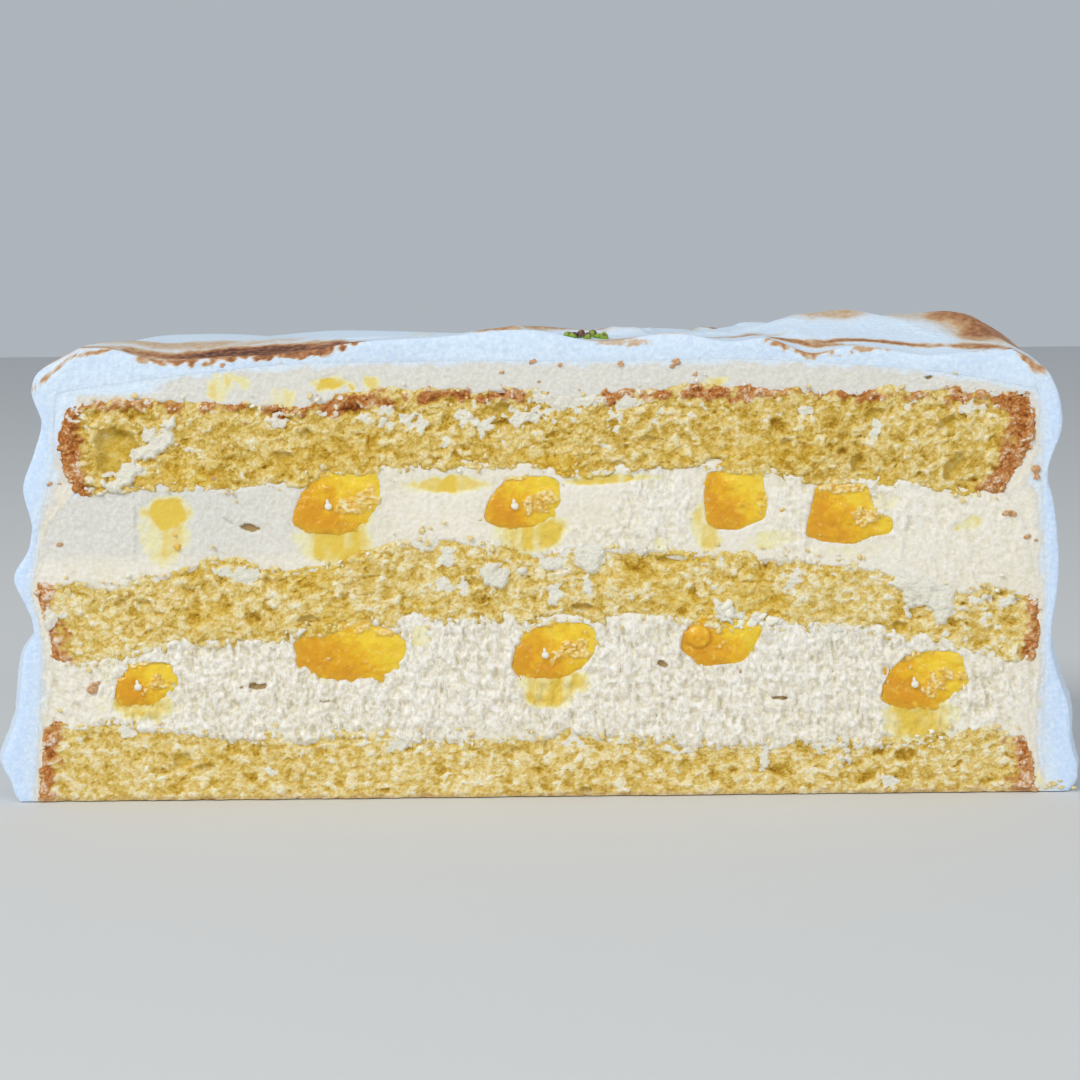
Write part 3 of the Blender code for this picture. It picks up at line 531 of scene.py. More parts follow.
TOP_CRUST = ovals((
    (62, 396, 100, 410, 0.0, 0.8), (100, 398, 205, 412, 0.0, 0.75), (206, 401, 236, 413, 0.0, 0.9),
    (258, 402, 298, 417, 0.0, 1.0), (305, 396, 362, 412, 0.1, 0.9), (358, 392, 400, 408, 0.05, 0.85),
    (413, 389, 446, 402, 0.0, 0.9), (458, 389, 545, 402, 0.0, 1.0), (601, 386, 634, 402, 0.0, 0.95),
    (640, 388, 664, 400, 0.0, 0.7), (662, 385, 780, 400, 0.0, 1.0), (780, 386, 834, 396, 0.0, 0.7),
    (834, 388, 884, 402, 0.0, 0.85), (903, 389, 925, 401, 0.0, 0.8), (944, 388, 983, 405, 0.0, 0.9),
    (985, 390, 1032, 408, -0.1, 1.0)))
print("stains:", {node: len(places) for node, places in STAINS.items()})
print("browned places under the roof of the top sponge:", len(TOP_CRUST))

# %% [markdown]
# Torn crumb is a heap of lumps about a millimetre wide, with beads between them, thin flakes and
# small gaps. A bump texture could only shade them. Here every point of the patch is moved, so the
# lumps cast real shadows, and the mesh can tell the finish how far each point stands out and where
# crust, cream and curd lie.

# %% Torn crumb
LUMP_SIZE = 1.35
BEAD_SIZE = 0.68
FLAKE_SIZE = 1.6
LUMP_STRETCH = 1.3          # how much wider than high the lumps are
GAPS = ((2.2, 0.15, 0.35), (3.8, 0.07, 0.5))        # size of a cell, share with a gap, depth
CRUMB_DEPTH = 1.05
# How far in the crust reaches at the left and the right end, and up from the bottom one's base.
END_CRUSTS = {"sponge_top": (4.8, 6.6), "sponge_middle": (4.8, 3.4), "sponge_bottom": (4.6, 5.4)}
BASE_CRUST = 1.3


def domes(x, z, size, seed):
    """Round lumps of chance height side by side, and each lump's chance."""
    away, pick = cells(x, z, size, seed)
    return (0.35 + 0.65 * pick) * np.sqrt(np.clip(1 - (away / 0.78) ** 2, 0, 1)), pick


def crumb(x, z, seed):
    """How far torn crumb stands out, 0 in a crevice to about 1 on a lump, and each lump's tint."""
    bent_x = (x + 0.5 * rough(x, z, 3.0, 2.2, seed)) / LUMP_STRETCH
    bent_z = z + 0.5 * rough(x, z, 9.0, 2.2, seed + 3)
    lumps, tint = domes(bent_x, bent_z, LUMP_SIZE, seed + 11)
    beads, bead_tint = domes(bent_x, bent_z, BEAD_SIZE, seed + 12)
    flakes = 1 - 2.2 * np.abs(hills(0.7 * bent_x, bent_z, 5.0, FLAKE_SIZE, seed + 14))
    stand = 0.36 * lumps + 0.33 * beads + 0.16 * flakes
    stand = stand + 0.10 * (1 + rough(x, z, 2.0, 0.8, seed + 15, 2))
    for i, (size, share, deep) in enumerate(GAPS):
        away, pick = cells(bent_x / LUMP_STRETCH, bent_z, size, seed + 21 + i)
        stand = stand - deep * smooth_step((0.45 - away) / 0.3) * (pick < share)
    return stand, 0.55 * tint + 0.45 * bead_tint


def sponge_surface(node, seed, liveliness, paler):
    """Relief and marks of one sponge's cut face. paler lightens its crumb."""
    def surface(x, z, from_roof, from_floor, from_side):
        stand, tint = crumb(x, z, seed)
        lively = liveliness * (1 + 0.25 * hills(x, z, 0.0, 22.0, seed + 6))
        ragged = rough(x, z, 4.0, 2.6, seed + 6)
        end_crust = np.where(x < 0, *END_CRUSTS[node])
        crust = smooth_step((end_crust + 2.0 * ragged - from_side) / 3.4)
        if node == "sponge_top":
            crust = np.maximum(crust, field(x, z, TOP_CRUST, 0.8, 0.8, seed))
        under = smooth_step((BASE_CRUST + 0.5 * ragged - from_floor) / 1.2)
        under = under * (node == "sponge_bottom")
        hole = field(x, z, HOLES[node], 0.3, 0.5, seed)
        relief = 0.4 - CRUMB_DEPTH * stand * (lively + 0.35 * crust) * (1 - 0.6 * np.minimum(hole, 1))
        relief = relief + 0.35 * rough(x, z, 7.0, 6.0, seed + 8, 2) + 0.6 * hole
        thick = field(x, z, SMEARS[node], 0.8, 0.8, seed + 2)
        blotch = rough(x, z, 1.0, 1.2, seed + 5) + 1.3 * (stand - 0.5)
        smear = 1.25 * thick + 0.45 * blotch * np.maximum(1.15 - thick, 0.0) - 0.6
        smear = smooth_step(smear / 0.3) * (thick > 0.05)
        lumpy = 0.2 * rough(x, z, 5.0, 1.0, seed + 9) + 0.5 * smooth_step((thick - 0.82) / 0.18)
        relief = relief * (1 - 0.5 * smear) - (0.05 + 0.22 * thick + lumpy) * smear
        stain = field(x, z, STAINS[node], 0.6, 1.1, seed + 4)
        # How far each point stands out also sets its colour: pale on lumps, darker in crevices, partly
        # painted shade.
        shade_by_height = np.clip(stand + paler, -0.3, 1.2)
        marks = {"stand": shade_by_height, "tint": tint, "hole": np.minimum(hole, 1.0),
                 "crust": crust, "cream": smear, "stain": stain, "under": under}
        return relief, marks

    return surface


SPONGE_CELL = 0.28
sponges = {}
for node, below, seed, liveliness, paler in (("sponge_bottom", 0, 31, 0.75, 0.11),
                                             ("sponge_middle", 2, 57, 0.95, 0.10),
                                             ("sponge_top", 4, 83, 1.0, -0.04)):
    sponges[node] = layer_piece(node.replace("sponge", "crumb"), below, SPONGE_CELL, 1.0, 0.0, 0.7,
                                sponge_surface(node, seed, liveliness, paler))

# %% [markdown]
# ## Where the curd is
# The curd was piped in rings, so each spot on the cut is the end of a soft rope. Most have the same
# outline: a low point at the left, a flat base and a round right side. The outline is read round
# the middle as a share of the spot's half width and half height.

# %% Outlines of the cut spots
FISH = ((-1.0, -0.62), (-0.93, -0.1), (-0.8, 0.25), (-0.62, 0.55), (-0.42, 0.85), (0.1, 1.0),
        (0.72, 0.98), (0.95, 0.82), (1.0, 0.3), (0.96, -0.1), (0.66, -0.62), (0.25, -0.95),
        (-0.55, -0.95), (-0.86, -0.8))
BOWL = ((-1.0, 0.2), (-0.92, -0.33), (-0.69, -0.65), (-0.5, -0.95), (-0.09, -1.0), (0.4, -0.92),
        (0.7, -0.75), (0.97, -0.11), (0.96, 0.37), (0.62, 0.84), (-0.17, 1.0), (-0.8, 0.75))
NOTCHED = ((-1.0, -0.35), (-0.76, -0.62), (-0.43, -1.0), (0.0, -0.97), (0.55, -0.88), (0.87, -0.1),
           (1.0, 0.45), (0.7, 0.95), (0.1, 1.0), (-0.5, 0.95), (-0.8, 0.5), (-0.95, 0.1))
PILLAR = ((-1.0, -0.2), (-0.92, -0.7), (-0.6, -0.95), (0.1, -1.0), (0.5, -0.8), (0.95, -0.6),
          (1.0, 0.0), (0.88, 0.5), (0.85, 1.0), (0.0, 1.05), (-0.9, 1.0), (-1.0, 0.4))
STEPPED = ((-1.0, -0.7), (-0.59, -0.91), (-0.05, -1.0), (0.55, -0.72), (0.92, -0.68), (1.0, -0.42),
           (0.94, -0.08), (0.6, -0.02), (0.52, 0.3), (0.4, 1.0), (-0.3, 1.05), (-0.76, 0.95),
           (-0.88, 0.1))
# The one at the far left of the upper filling shows only as a stain: cream lies over its end.
FAINT = ((-0.9, -0.8), (-0.9, 0.8), (0.9, 0.8), (0.9, -0.8))
FAINT_DEPTH = 1.4


def spot_in(left, top, right, bottom, outline):
    """A spot of curd from its box in pixels: x, z, width, height and outline."""
    x, z = on_cut((left + right) / 2, (top + bottom) / 2)
    return x, z, (right - left) * PIXEL, (bottom - top) * PIXEL, outline


RINGS = {"curd_lower_outer": (spot_in(111, 660, 177, 708, FISH), spot_in(876, 648, 969, 712, FISH)),
         "curd_lower_inner": (spot_in(287, 620, 414, 683, BOWL), spot_in(675, 612, 767, 668, NOTCHED)),
         "curd_upper_outer": (spot_in(148, 500, 188, 524, FAINT), spot_in(801, 482, 898, 547, STEPPED)),
         "curd_upper_inner": (spot_in(289, 467, 384, 537, FISH), spot_in(702, 469, 770, 533, PILLAR))}
DROPS = {"curd_lower_centre": spot_in(506, 620, 601, 682, FISH),
         "curd_upper_centre": spot_in(480, 474, 564, 531, FISH)}


def outline_reach(outline):
    """A function of the turn round a spot's middle, for an outline of corner points."""
    corners = np.array(outline + outline[:1])
    steps = np.linspace(0, 1, 12, endpoint=False)[:, None]
    points = np.concatenate([a + (b - a) * steps for a, b in zip(corners, corners[1:])])
    turns = np.arctan2(points[:, 1], points[:, 0])
    order = np.argsort(turns)
    turns = turns[order]
    reach = np.hypot(*points[order].T)

    def read(turn):
        turn = (turn + math.pi) % (2 * math.pi) - math.pi
        total = 0.0
        for shift in (-0.08, 0.0, 0.08):
            total = total + np.interp(turn + shift, turns, reach, period=2 * math.pi)
        return total / 3

    return read


SPOTS = {"cream_lower": [*RINGS["curd_lower_outer"], *RINGS["curd_lower_inner"],
                         DROPS["curd_lower_centre"]],
         "cream_upper": [*RINGS["curd_upper_outer"], *RINGS["curd_upper_inner"],
                         DROPS["curd_upper_centre"]],
         "cream_coat": []}


def under_curd(x, z, spots):
    """1 where curd lies in front of the cream."""
    total = np.zeros(np.shape(x))
    for px, pz, wide, high, outline in spots:
        if outline is FAINT:
            continue
        across = (x - px) * 2 / wide
        up = (z - pz) * 2 / high
        reach = outline_reach(outline)(np.arctan2(up, across))
        total = np.maximum(total, smooth_step((0.94 * reach - np.hypot(across, up)) / 0.12))
    return total


print("spots of curd on the cut:", sum(len(spots) for spots in SPOTS.values()))

# %% [markdown]
# ## Cream
# The fillings are one cream with two characters. The upper one was cut clean, and the lower one
# dragged under the knife into short upright tears with crisp edges. The coat is the same cream.
# Sculpting would do for one piece. A function of the place lets the same relief run on through all
# three. Curd has soaked in below each spot.

# %% What lies on the cream
SOAKED = {
    "cream_upper": ovals((
        (144, 497, 192, 528, 0.0, 1.1), (140, 498, 188, 566, 0.1, 0.66), (297, 512, 377, 568, 0.0, 0.95),
        (490, 510, 561, 555, 0.0, 0.95), (690, 505, 722, 552, 0.1, 0.7), (402, 476, 494, 494, 0.0, 1.0),
        (566, 474, 656, 484, 0.05, 0.8), (410, 492, 470, 540, 0.3, 0.22), (745, 526, 800, 552, 0.1, 0.5),
        (955, 516, 983, 533, 0.3, 0.65), (870, 490, 900, 512, 0.2, 0.4),
        (935, 488, 990, 500, 0.0, 0.4), (800, 540, 900, 560, 0.0, 0.35),
        (640, 536, 700, 556, 0.2, 0.4))),
    "cream_lower": ovals((
        (117, 690, 172, 722, 0.0, 0.95), (516, 662, 588, 710, 0.0, 0.95), (888, 690, 956, 742, 0.0, 0.95),
        (85, 695, 112, 716, 0.3, 0.4), (410, 624, 432, 648, 0.0, 0.6), (300, 655, 340, 680, -0.8, 0.35),
        (690, 652, 726, 668, 1.4, 0.45), (84, 656, 134, 674, 1.3, 0.4), (700, 716, 732, 728, 1.4, 0.2),
        (1000, 734, 1080, 746, 1.55, 0.35))),
    "cream_coat": ovals((
        (203, 369, 231, 403, 0.2, 0.68), (228, 373, 250, 388, 0.0, 0.55), (268, 389, 299, 408, 0.0, 0.62),
        (317, 377, 351, 392, 0.0, 0.98), (364, 374, 382, 391, 0.0, 0.68), (703, 374, 729, 389, 0.0, 0.68),
        (1026, 772, 1046, 790, 0.0, 0.6), (26, 770, 48, 800, 0.0, 0.4))),
}
SLITS = {
    "cream_upper": ovals(((240, 525, 260, 531, -0.14, 0.9), (222, 521, 238, 524, -0.55, 0.4))),
    "cream_lower": ovals((
        (243, 684, 269, 689, 0.03, 0.9), (317, 700, 335, 703, 0.0, 0.5), (772, 696, 788, 700, -0.05, 0.8),
        (655, 660, 667, 665, -0.6, 0.8), (651, 714, 663, 717, -1.0, 0.5))),
    "cream_coat": ovals(((925, 375, 932, 379, 0.0, 0.8),)),
}
DRAGGED = ovals((
    (86, 600, 606, 760, 0.02, 1.0), (466, 610, 1006, 770, -0.02, 1.0), (41, 645, 101, 735, 0.0, 0.4),
    (616, 465, 696, 565, 0.0, 0.6), (766, 470, 826, 570, 0.0, 0.5), (911, 490, 1021, 590, 0.0, 0.3),
    (486, 525, 686, 555, 0.0, 0.6), (846, 460, 926, 540, 0.0, 0.5)))
CREASES = ovals((
    (100, 520, 165, 525, 1.56, 1.0), (871, 528, 936, 533, 1.4, 1.0), (604, 522, 649, 527, -0.75, 0.8),
    (396, 513, 456, 517, 1.5, 0.5)))
CALM_DRAG = 0.16
SEAT_DEPTH = 1.5
SLIT_DEPTH = 0.8


def dragged(x, z):
    """How much the knife tore the cream, from its calm share to 1."""
    return CALM_DRAG + (1 - CALM_DRAG) * field(x, z, DRAGGED, 0.1, 0.3, 3)


def cream_relief(x, z):
    """The cream's relief at the cut, in millimetres towards the back."""
    drag = dragged(x, z)
    bent = x + 0.2 * z + 0.4 * hills(x, z, 3.0, 2.0, 88)
    long = rough(bent, 0.45 * z, 0.0, 0.95, 90)
    crisp = 1 - 2.4 * np.abs(hills(bent, 0.42 * z, 4.0, 1.15, 94))
    fine = rough(x, 0.6 * z, 6.0, 0.55, 96, 2)
    torn = 0.32 * long + 0.46 * crisp + 0.19 * fine
    return -drag * torn - 0.05 * fine + 0.14 * hills(x, z, 0.0, 11.0, 97)


def cream_surface(node):
    """Relief and marks of a cream's cut face. For the coat, share runs from inside to outside."""
    coated = node == "cream_coat"

    def surface(x, z, share, *_):
        relief = cream_relief(x, z)
        # Points lying back from the cut get a painted shade in the finish.
        hollow = smooth_step(0.45 + 1.5 * relief)
        slit = field(x, z, SLITS[node], 0.5, 0.7, 7)
        crease = field(x, z, CREASES, 0.2, 0.9, 8)
        soaked = field(x, z, SOAKED[node], 0.5 if coated else 0.25, 1.1 if coated else 0.8, 9)
        streaks = smooth_step(0.5 + 1.2 * hills(x, 0.4 * z, 2.0, 1.9, 10))
        soaked = soaked * (0.72 + 0.3 * streaks)
        seat = under_curd(x, z, SPOTS[node])
        relief = relief + SLIT_DEPTH * slit - 0.35 * crease
        relief = relief * (1 - 0.4 * soaked) + 0.2 * soaked
        relief = relief * (1 - seat) + SEAT_DEPTH * seat
        # Painted bluish shade: greyer, then bluer, at the left end next to the meringue, near the top, over
        # the left half of the upper filling, and on the coat's outer skin at the ends.
        cool = smooth_step((-89.0 - x) / 4.0) * smooth_step((z - 58.0) / 5.0)
        cool = np.maximum(cool, smooth_step((z - 80.0) / 3.0) * smooth_step((-66.0 - x) / 14.0))
        left_shade = 0.45 * smooth_step((-10.0 - x) / 60.0) * smooth_step((z - 46.0) / 6.0)
        cool = np.maximum(cool, np.maximum(left_shade, 0.4 * smooth_step((z - 79.0) / 4.0)))
        if coated:
            below_top = coat_top(x, 0.0) - z + 0.7 * rough(x, z, 2.0, 2.4, 98)
            cool = np.maximum(cool, 0.4 + 0.45 * smooth_step((1.7 - below_top) / 1.7) * (z > 70))
            cool = cool * smooth_step((z - 60.0) / 16.0)
            outer = smooth_step((share - 0.3 + 0.3 * rough(x, z, 2.0, 3.0, 89)) / 0.7)
            cool = np.maximum(cool, 0.85 * outer * smooth_step((np.abs(x) - 88.0) / 4.0))
        return relief, {"slit": slit, "soaked": soaked, "hollow": hollow, "cool": cool,
                        "torn": dragged(x, z)}

    return surface


CREAM_CELL = 0.31
creams = {}
for node, below in (("cream_lower", 1), ("cream_upper", 3)):
    creams[node] = layer_piece(node.replace("cream", "filling"), below, CREAM_CELL, 2.0, 0.7, 0.6,
                               cream_surface(node))

# %% [markdown]
# ## Shells
# The cream coat and the meringue wrap round the cake like hoods. Their cut shows as a band: up the
# left side, across the top and down the right side. One path of (u, w) runs along that band, and
# the thickness is a share between the inner and the outer outline.

# %% The band of a hood at the cut
def band_path(side_count, top_count):
    """u and w along a hood: up the left wall, across the top, down the right wall."""
    side = np.linspace(0, 1, side_count)
    top = np.linspace(-1, 1, top_count)[1:-1]
    u = np.concatenate([-np.ones(side_count), top, np.ones(side_count)])
    w = np.concatenate([side, np.ones(top_count - 2), side[::-1]])
    return u, w


def hood_piece(name, path, layers, margins, inner, outer, angles, surface, row_surface=None):
    """A hood round the cake. inner and outer place a path's points for a given sweep angle.

    margins are how far its cut face runs on behind its neighbours inside and outside.
    """
    u, w = path
    share = np.linspace(0, 1, layers)
    beyond = np.zeros(layers)
    if margins[0]:
        share = np.concatenate([[0, 0, 0], share])
        beyond = np.concatenate([-margins[0] * np.array([1, 0.7, 0.35]), beyond])
    if margins[1]:
        share = np.concatenate([share, [1, 1, 1]])
        beyond = np.concatenate([beyond, margins[1] * np.array([0.35, 0.7, 1])])
    inside = inner(u, w, 0.0)[:, None, :]
    outside = outer(u, w, 0.0)[:, None, :]
    across = outside - inside
    thickness = np.linalg.norm(across, axis=-1, keepdims=True)
    patch = inside + across * (share[None, :, None] + beyond[None, :, None] / thickness)
    relief, marks = surface(patch[..., 0], patch[..., 2], share[None, :], thickness[..., 0])
    patch[..., 1] = patch[..., 1] + relief + 0.6 * np.abs(beyond)[None]
    count = len(share)
    border = border_of(len(u), count)
    coarse = np.arange(len(border)) % SKIP == 0
    showing = (border[:, 1] == count - 1) & (row_surface is not None)
    picks = np.flatnonzero(coarse | showing)
    at, deep = border[picks].T
    part = share[deep][None]
    sweep = angles[:, None]
    within = inner(u[at], w[at], sweep)
    without = outer(u[at], w[at], sweep)
    rows = within + (without - within) * part[..., None]
    row_marks = row_surface(u[at], w[at], sweep, part) if row_surface else None
    return swept_piece(name, patch, border, picks, rows, marks, row_marks)

# %% [markdown]
# The cream coat is a slab on the top sponge that runs down the sides as a thin, uneven skin. A
# solidify modifier would make it equally thick all round. So it has two faces of its own: the inner
# one is the outside of the sponges, and the outer one follows the coat's lines and its slightly
# domed top.

# %% Where the coat's faces are
COAT_SIDE = 82.0            # mm up to the end of the coat's side lines
SLAB_ROUND = 3.2            # the higher, the nearer to its edge the slab's top falls


def coat_top(x, y):
    fall = SLAB_FALL * (np.hypot(x, y) / CAKE_RADIUS) ** SLAB_ROUND
    return SLAB_TOP - fall + 0.3 * swell(x, y, 60.0, 6)


def coat_outer(u, w, angle):
    hx = u * np.cos(angle)
    hy = np.sin(angle) + 0 * u
    radius = coat_radius(u + 0 * hx, COAT_SIDE * w + 0 * hx)
    rim = coat_top(radius * hx, radius * hy)
    return np.stack([radius * hx, radius * hy, w * rim], -1)


def coat_inner(u, w, angle):
    hx = u * np.cos(angle)
    hy = np.sin(angle) + 0 * u
    z = w * FACES[5](CAKE_RADIUS * hx, CAKE_RADIUS * hy)
    radius = core_radius(u + 0 * hx, z)
    return np.stack([radius * hx, radius * hy, z], -1)


coat = hood_piece("coat_cream", band_path(161, 481), 25, (0.8, 0.8), coat_inner, coat_outer,
                  np.radians([1.5, 10, 22, 36, 50, 64, 78, 90.0]), cream_surface("cream_coat"))

# %% [markdown]
# ## Meringue
# A palette knife swept the meringue round the side in wavy bands and over the top in arcs. Each
# arc wipes out what it crosses, leaves fine streaks in its bed and throws up a lip at its edge.
# The lips are what the torch burnt, so the same numbers that raise them also brown them.

# %% The meringue's sweeps
MERINGUE_TOP = 92.6
SHOULDER_HEIGHT = 92.0
SHOULDER_RADIUS = 90.0
SHOULDER_START = 76.0
SHOULDER_BEND = 2.4
WAVE_LENGTH = 18.0
WAVE_DEPTH = 1.7
WALL_RADIUS = 104.0
WALL_FLARE = 3.6
EDGE_FADE = 9.0
CUT_PINCH = 2.2
PINCH_FADE = 5.0
LEAST_WALL = 1.3
# Each fold of the top: x, y from the cut, half its length, half its width, turn and rise.
FOLDS = ((58.5, 26.0, 10.0, 9.0, 0.3, 4.2), (81.5, 26.0, 15.0, 10.0, -0.12, 4.6),
         (58.0, 56.0, 20.0, 8.0, 0.8, 1.8), (40.0, 40.0, 12.0, 10.0, 0.0, 1.0),
         (-84.0, 13.0, 7.0, 8.0, 0.0, 1.2))
THICK_FOLD = 4.0            # rise of a fold whose crest the torch browned fully
KNIFE_STROKES = 18
STROKE_SEED = 11
STROKE_BED = 0.5
STROKE_LIP = 0.34

meringue_left = curve_through(MERINGUE_LEFT)
meringue_right = curve_through(MERINGUE_RIGHT)
meringue_edge = curve_through(MERINGUE_EDGE)


def wall_sweep(angle, z):
    """The wandering waves round the side, -1 in a trough and 1 on a ridge."""
    wander = 2.2 * np.sin(2.3 * angle + 0.6) + 0.9 * np.sin(5.1 * angle)
    return np.sin(2 * math.pi * z / WAVE_LENGTH + wander)


def meringue_radius(hx, hy, z):
    """The wavy wall: as seen at both ends of the cut, with wandering sweeps round the back."""
    angle = np.arctan2(hy, -hx)
    depth = WAVE_DEPTH * (0.75 + 0.35 * np.sin(3.7 * angle + z / 21))
    foot = WALL_FLARE * np.exp(-((z - 6) / 7) ** 2)
    shoulder = np.clip((z - SHOULDER_START) / (SHOULDER_HEIGHT - SHOULDER_START), 0, 1)
    wall = WALL_RADIUS + foot + depth * wall_sweep(angle, z) * (1 - 0.6 * shoulder)
    wall = wall + (SHOULDER_RADIUS - WALL_RADIUS) * shoulder ** SHOULDER_BEND
    near_left = np.exp(-(angle / 0.42) ** 2)
    near_right = np.exp(-((math.pi - angle) / 0.42) ** 2)
    wall = wall + near_left * (meringue_left(z) - wall)
    wall = wall + near_right * (meringue_right(z) - wall)
    pinch = CUT_PINCH * np.exp(-(hy * WALL_RADIUS / PINCH_FADE) ** 2)
    pinch = pinch * (1 - smooth_step((z - 24) / 26)) * smooth_step(z / 5)
    least = coat_radius(hx, z) + LEAST_WALL
    return np.where(z < 80, np.maximum(wall - pinch, least), wall)


def knife_strokes():
    rng = np.random.default_rng(STROKE_SEED)
    strokes = []
    for i in range(KNIFE_STROKES):
        turn = rng.uniform(0, 2 * math.pi)
        away = rng.uniform(10, 88)
        reach = rng.uniform(26, 60)
        heading = rng.uniform(0, 2 * math.pi)
        place = (away * math.cos(turn), abs(away * math.sin(turn)))
        centre = (place[0] - reach * math.cos(heading), place[1] - reach * math.sin(heading))
        strokes.append((centre, reach, heading, rng.uniform(0.35, 0.8), rng.uniform(14, 24),
                        rng.uniform(1.1, 2.3)))
    return strokes


STROKES = knife_strokes()
print("knife strokes over the top:", len(STROKES))


def swept_top(x, y):
    """The relief of the top, and how much each place stands up as a lip."""
    relief = 0.8 * swell(x, y, 55.0, 7)
    lips = np.zeros(np.shape(relief))
    for i, (centre, reach, heading, half_turn, width, depth) in enumerate(STROKES):
        away = np.hypot(x - centre[0], y - centre[1]) - reach
        turn = np.arctan2(y - centre[1], x - centre[0]) - heading
        turn = np.abs((turn + math.pi) % (2 * math.pi) - math.pi)
        inside = smooth_step((width / 2 - np.abs(away)) / 3.0)
        inside = inside * smooth_step((half_turn - turn) / 0.2)
        trough = STROKE_BED * depth * ((2 * away / width) ** 2 - 0.75)
        streaks = 0.22 * hills(away, turn * reach / 12, 0.0, 1.5, i)
        relief = relief + inside * (trough + streaks - relief)
        lips = lips * (1 - inside)
        lip = np.exp(-((away - width / 2) / 2.4) ** 2) * smooth_step((half_turn - turn) / 0.3)
        relief = relief + STROKE_LIP * depth * lip
        lips = np.maximum(lips, lip)
    return relief, lips


def meringue_top(x, y):
    """The height of the meringue's top, its lips, and the crests of its folds."""
    relief, lips = swept_top(x, y)
    z = MERINGUE_TOP + relief - 0.6 * smooth_step((np.hypot(x, y) - 70) / 20)
    crests = np.zeros(np.shape(relief))
    for middle, back, length, width, turn, rise in FOLDS:
        along = (x - middle) * math.cos(turn) + (y - back) * math.sin(turn)
        aside = (y - back) * math.cos(turn) - (x - middle) * math.sin(turn)
        fold = np.exp(-(along / length) ** 4 - (aside / width) ** 2)
        z = z + rise * fold
        lips = lips * (1 - fold)
        crests = np.maximum(crests, fold * min(rise / THICK_FOLD, 1.0))
    near = np.exp(-(y / EDGE_FADE) ** 2)
    return z + near * (meringue_edge(x) - z), lips, crests

# %% [markdown]
# The meringue's inner face is the outside of the cream coat. Its outer face is a wavy wall and a
# swept top. They could be two meshes joined at the shoulder, but a seam would show there, so one
# function places every point of both. It also says how far each point stands up as a ridge or a
# lip, because the torch browns what stands up.

# %% The meringue's outer face
def meringue_place(u, w, angle):
    """Places on the outer face, how far they stand up as a ridge, blobs, and folds' crests."""
    hx = u * np.cos(angle)
    hy = np.sin(angle) + 0 * u
    side = SHOULDER_HEIGHT * w + 0 * hx
    length = np.maximum(np.hypot(hx, hy), 1e-6)
    radius = meringue_radius(hx / length, hy / length, side)
    end = meringue_radius(hx / length, hy / length, SHOULDER_HEIGHT)
    top, lips, crests = meringue_top(end * hx, end * hy)
    z = side / SHOULDER_HEIGHT * top
    around = np.arctan2(hy, -hx)
    on_top = np.where(np.abs(u + 0 * hx) < 1, 1.0, smooth_step((w + 0 * hx - 0.86) / 0.14))
    ridge = np.maximum(0.5 + 0.5 * wall_sweep(around, z), 0.0) ** 5
    streaks = hills(around * WALL_RADIUS / 9, 0.0, z + 2.0 * np.sin(3 * around), 1.3, 40)
    blobs = rough(radius * hx, radius * hy, z, 9.0, 44, 2)
    radius = radius + (1 - on_top) * (0.22 * streaks + 0.5 * blobs) * smooth_step(hy * 12)
    stand = on_top * lips + (1 - on_top) * ridge
    return radius * hx, radius * hy, z, stand, blobs, crests * on_top


def meringue_outer(u, w, angle):
    x, y, z, _, _, _ = meringue_place(u, w, angle)
    return np.stack([x, y, z], -1)


edge = meringue_outer(np.array([-1.0, 0.0, 1.0]), 1.0, 0.0)[:, 2]
print("the meringue's edge at the left, in the middle and at the right, mm:", np.round(edge, 1))

# %% [markdown]
# The torch browned what stood up: the ridges round the side, the lips on the top and the crests of
# the folds. That follows from the shape. The burns that show in the photograph were read off and
# added. Paint on an image would have to be done anew after each change of the shape.

# %% Where the torch browned it
# Each burn on the top: x, y from the cut, length, depth, turn, strength.
BURNS = ((-89.0, 3.0, 18.0, 6.0, 0.0, 0.42), (-57.0, 4.6, 50.0, 8.0, 0.0, 0.85),
         (-42.0, 3.0, 26.0, 4.6, 0.0, 0.8), (-72.0, 12.0, 40.0, 9.0, 0.0, 0.36),
         (17.0, 4.5, 14.0, 5.0, 0.0, 0.34), (50.0, 8.0, 26.0, 2.4, -0.35, 0.62),
         (68.0, 7.0, 30.0, 2.4, 0.0, 0.66), (90.0, 5.0, 12.0, 4.0, -0.3, 0.6),
         (36.0, 14.0, 24.0, 3.0, -0.1, 0.4), (97.0, 2.0, 6.0, 4.0, 0.0, 0.7),
         (62.0, 24.0, 13.0, 9.0, 0.2, 0.36), (91.0, 24.0, 26.0, 17.0, -0.25, 0.64),
         (94.0, 15.0, 14.0, 14.0, -0.5, 0.66))
# The ragged brown lip along the front edge, and the spot on the right shoulder.
EDGE_BURNS = ovals((
    (148, 353, 215, 364, 0.0, 0.62), (200, 352, 262, 361, 0.0, 0.68), (250, 349, 300, 358, 0.0, 0.74),
    (288, 343, 356, 354, 0.25, 0.68), (80, 347, 134, 352, 0.2, 0.5), (28, 375, 66, 379, 0.7, 0.46),
    (762, 339, 838, 352, -0.25, 0.54), (852, 345, 884, 352, 0.0, 0.45), (592, 338, 650, 345, 0.0, 0.36),
    (900, 349, 1000, 352, 0.0, 0.34), (1019, 359, 1047, 369, -0.45, 0.52)))
CREST_TAN = 0.28


def browning(x, y, z, stand, blobs, crests):
    patchy = smooth_step(0.5 + 0.9 * rough(x, y, z, 26.0, 61, 2))
    behind = smooth_step((y - 26) / 14)
    toast = smooth_step((stand - 0.3 + 0.25 * blobs) / 0.7) * patchy * (0.2 + 0.8 * behind)
    burnt = field(x, y, BURNS, 0.25, 1.1, 66) * (z > 82)
    tan = CREST_TAN * smooth_step((crests - 0.55 + 0.2 * rough(x, y, z, 12.0, 68, 2)) / 0.45)
    return np.maximum(np.maximum(0.8 * toast, burnt), tan)


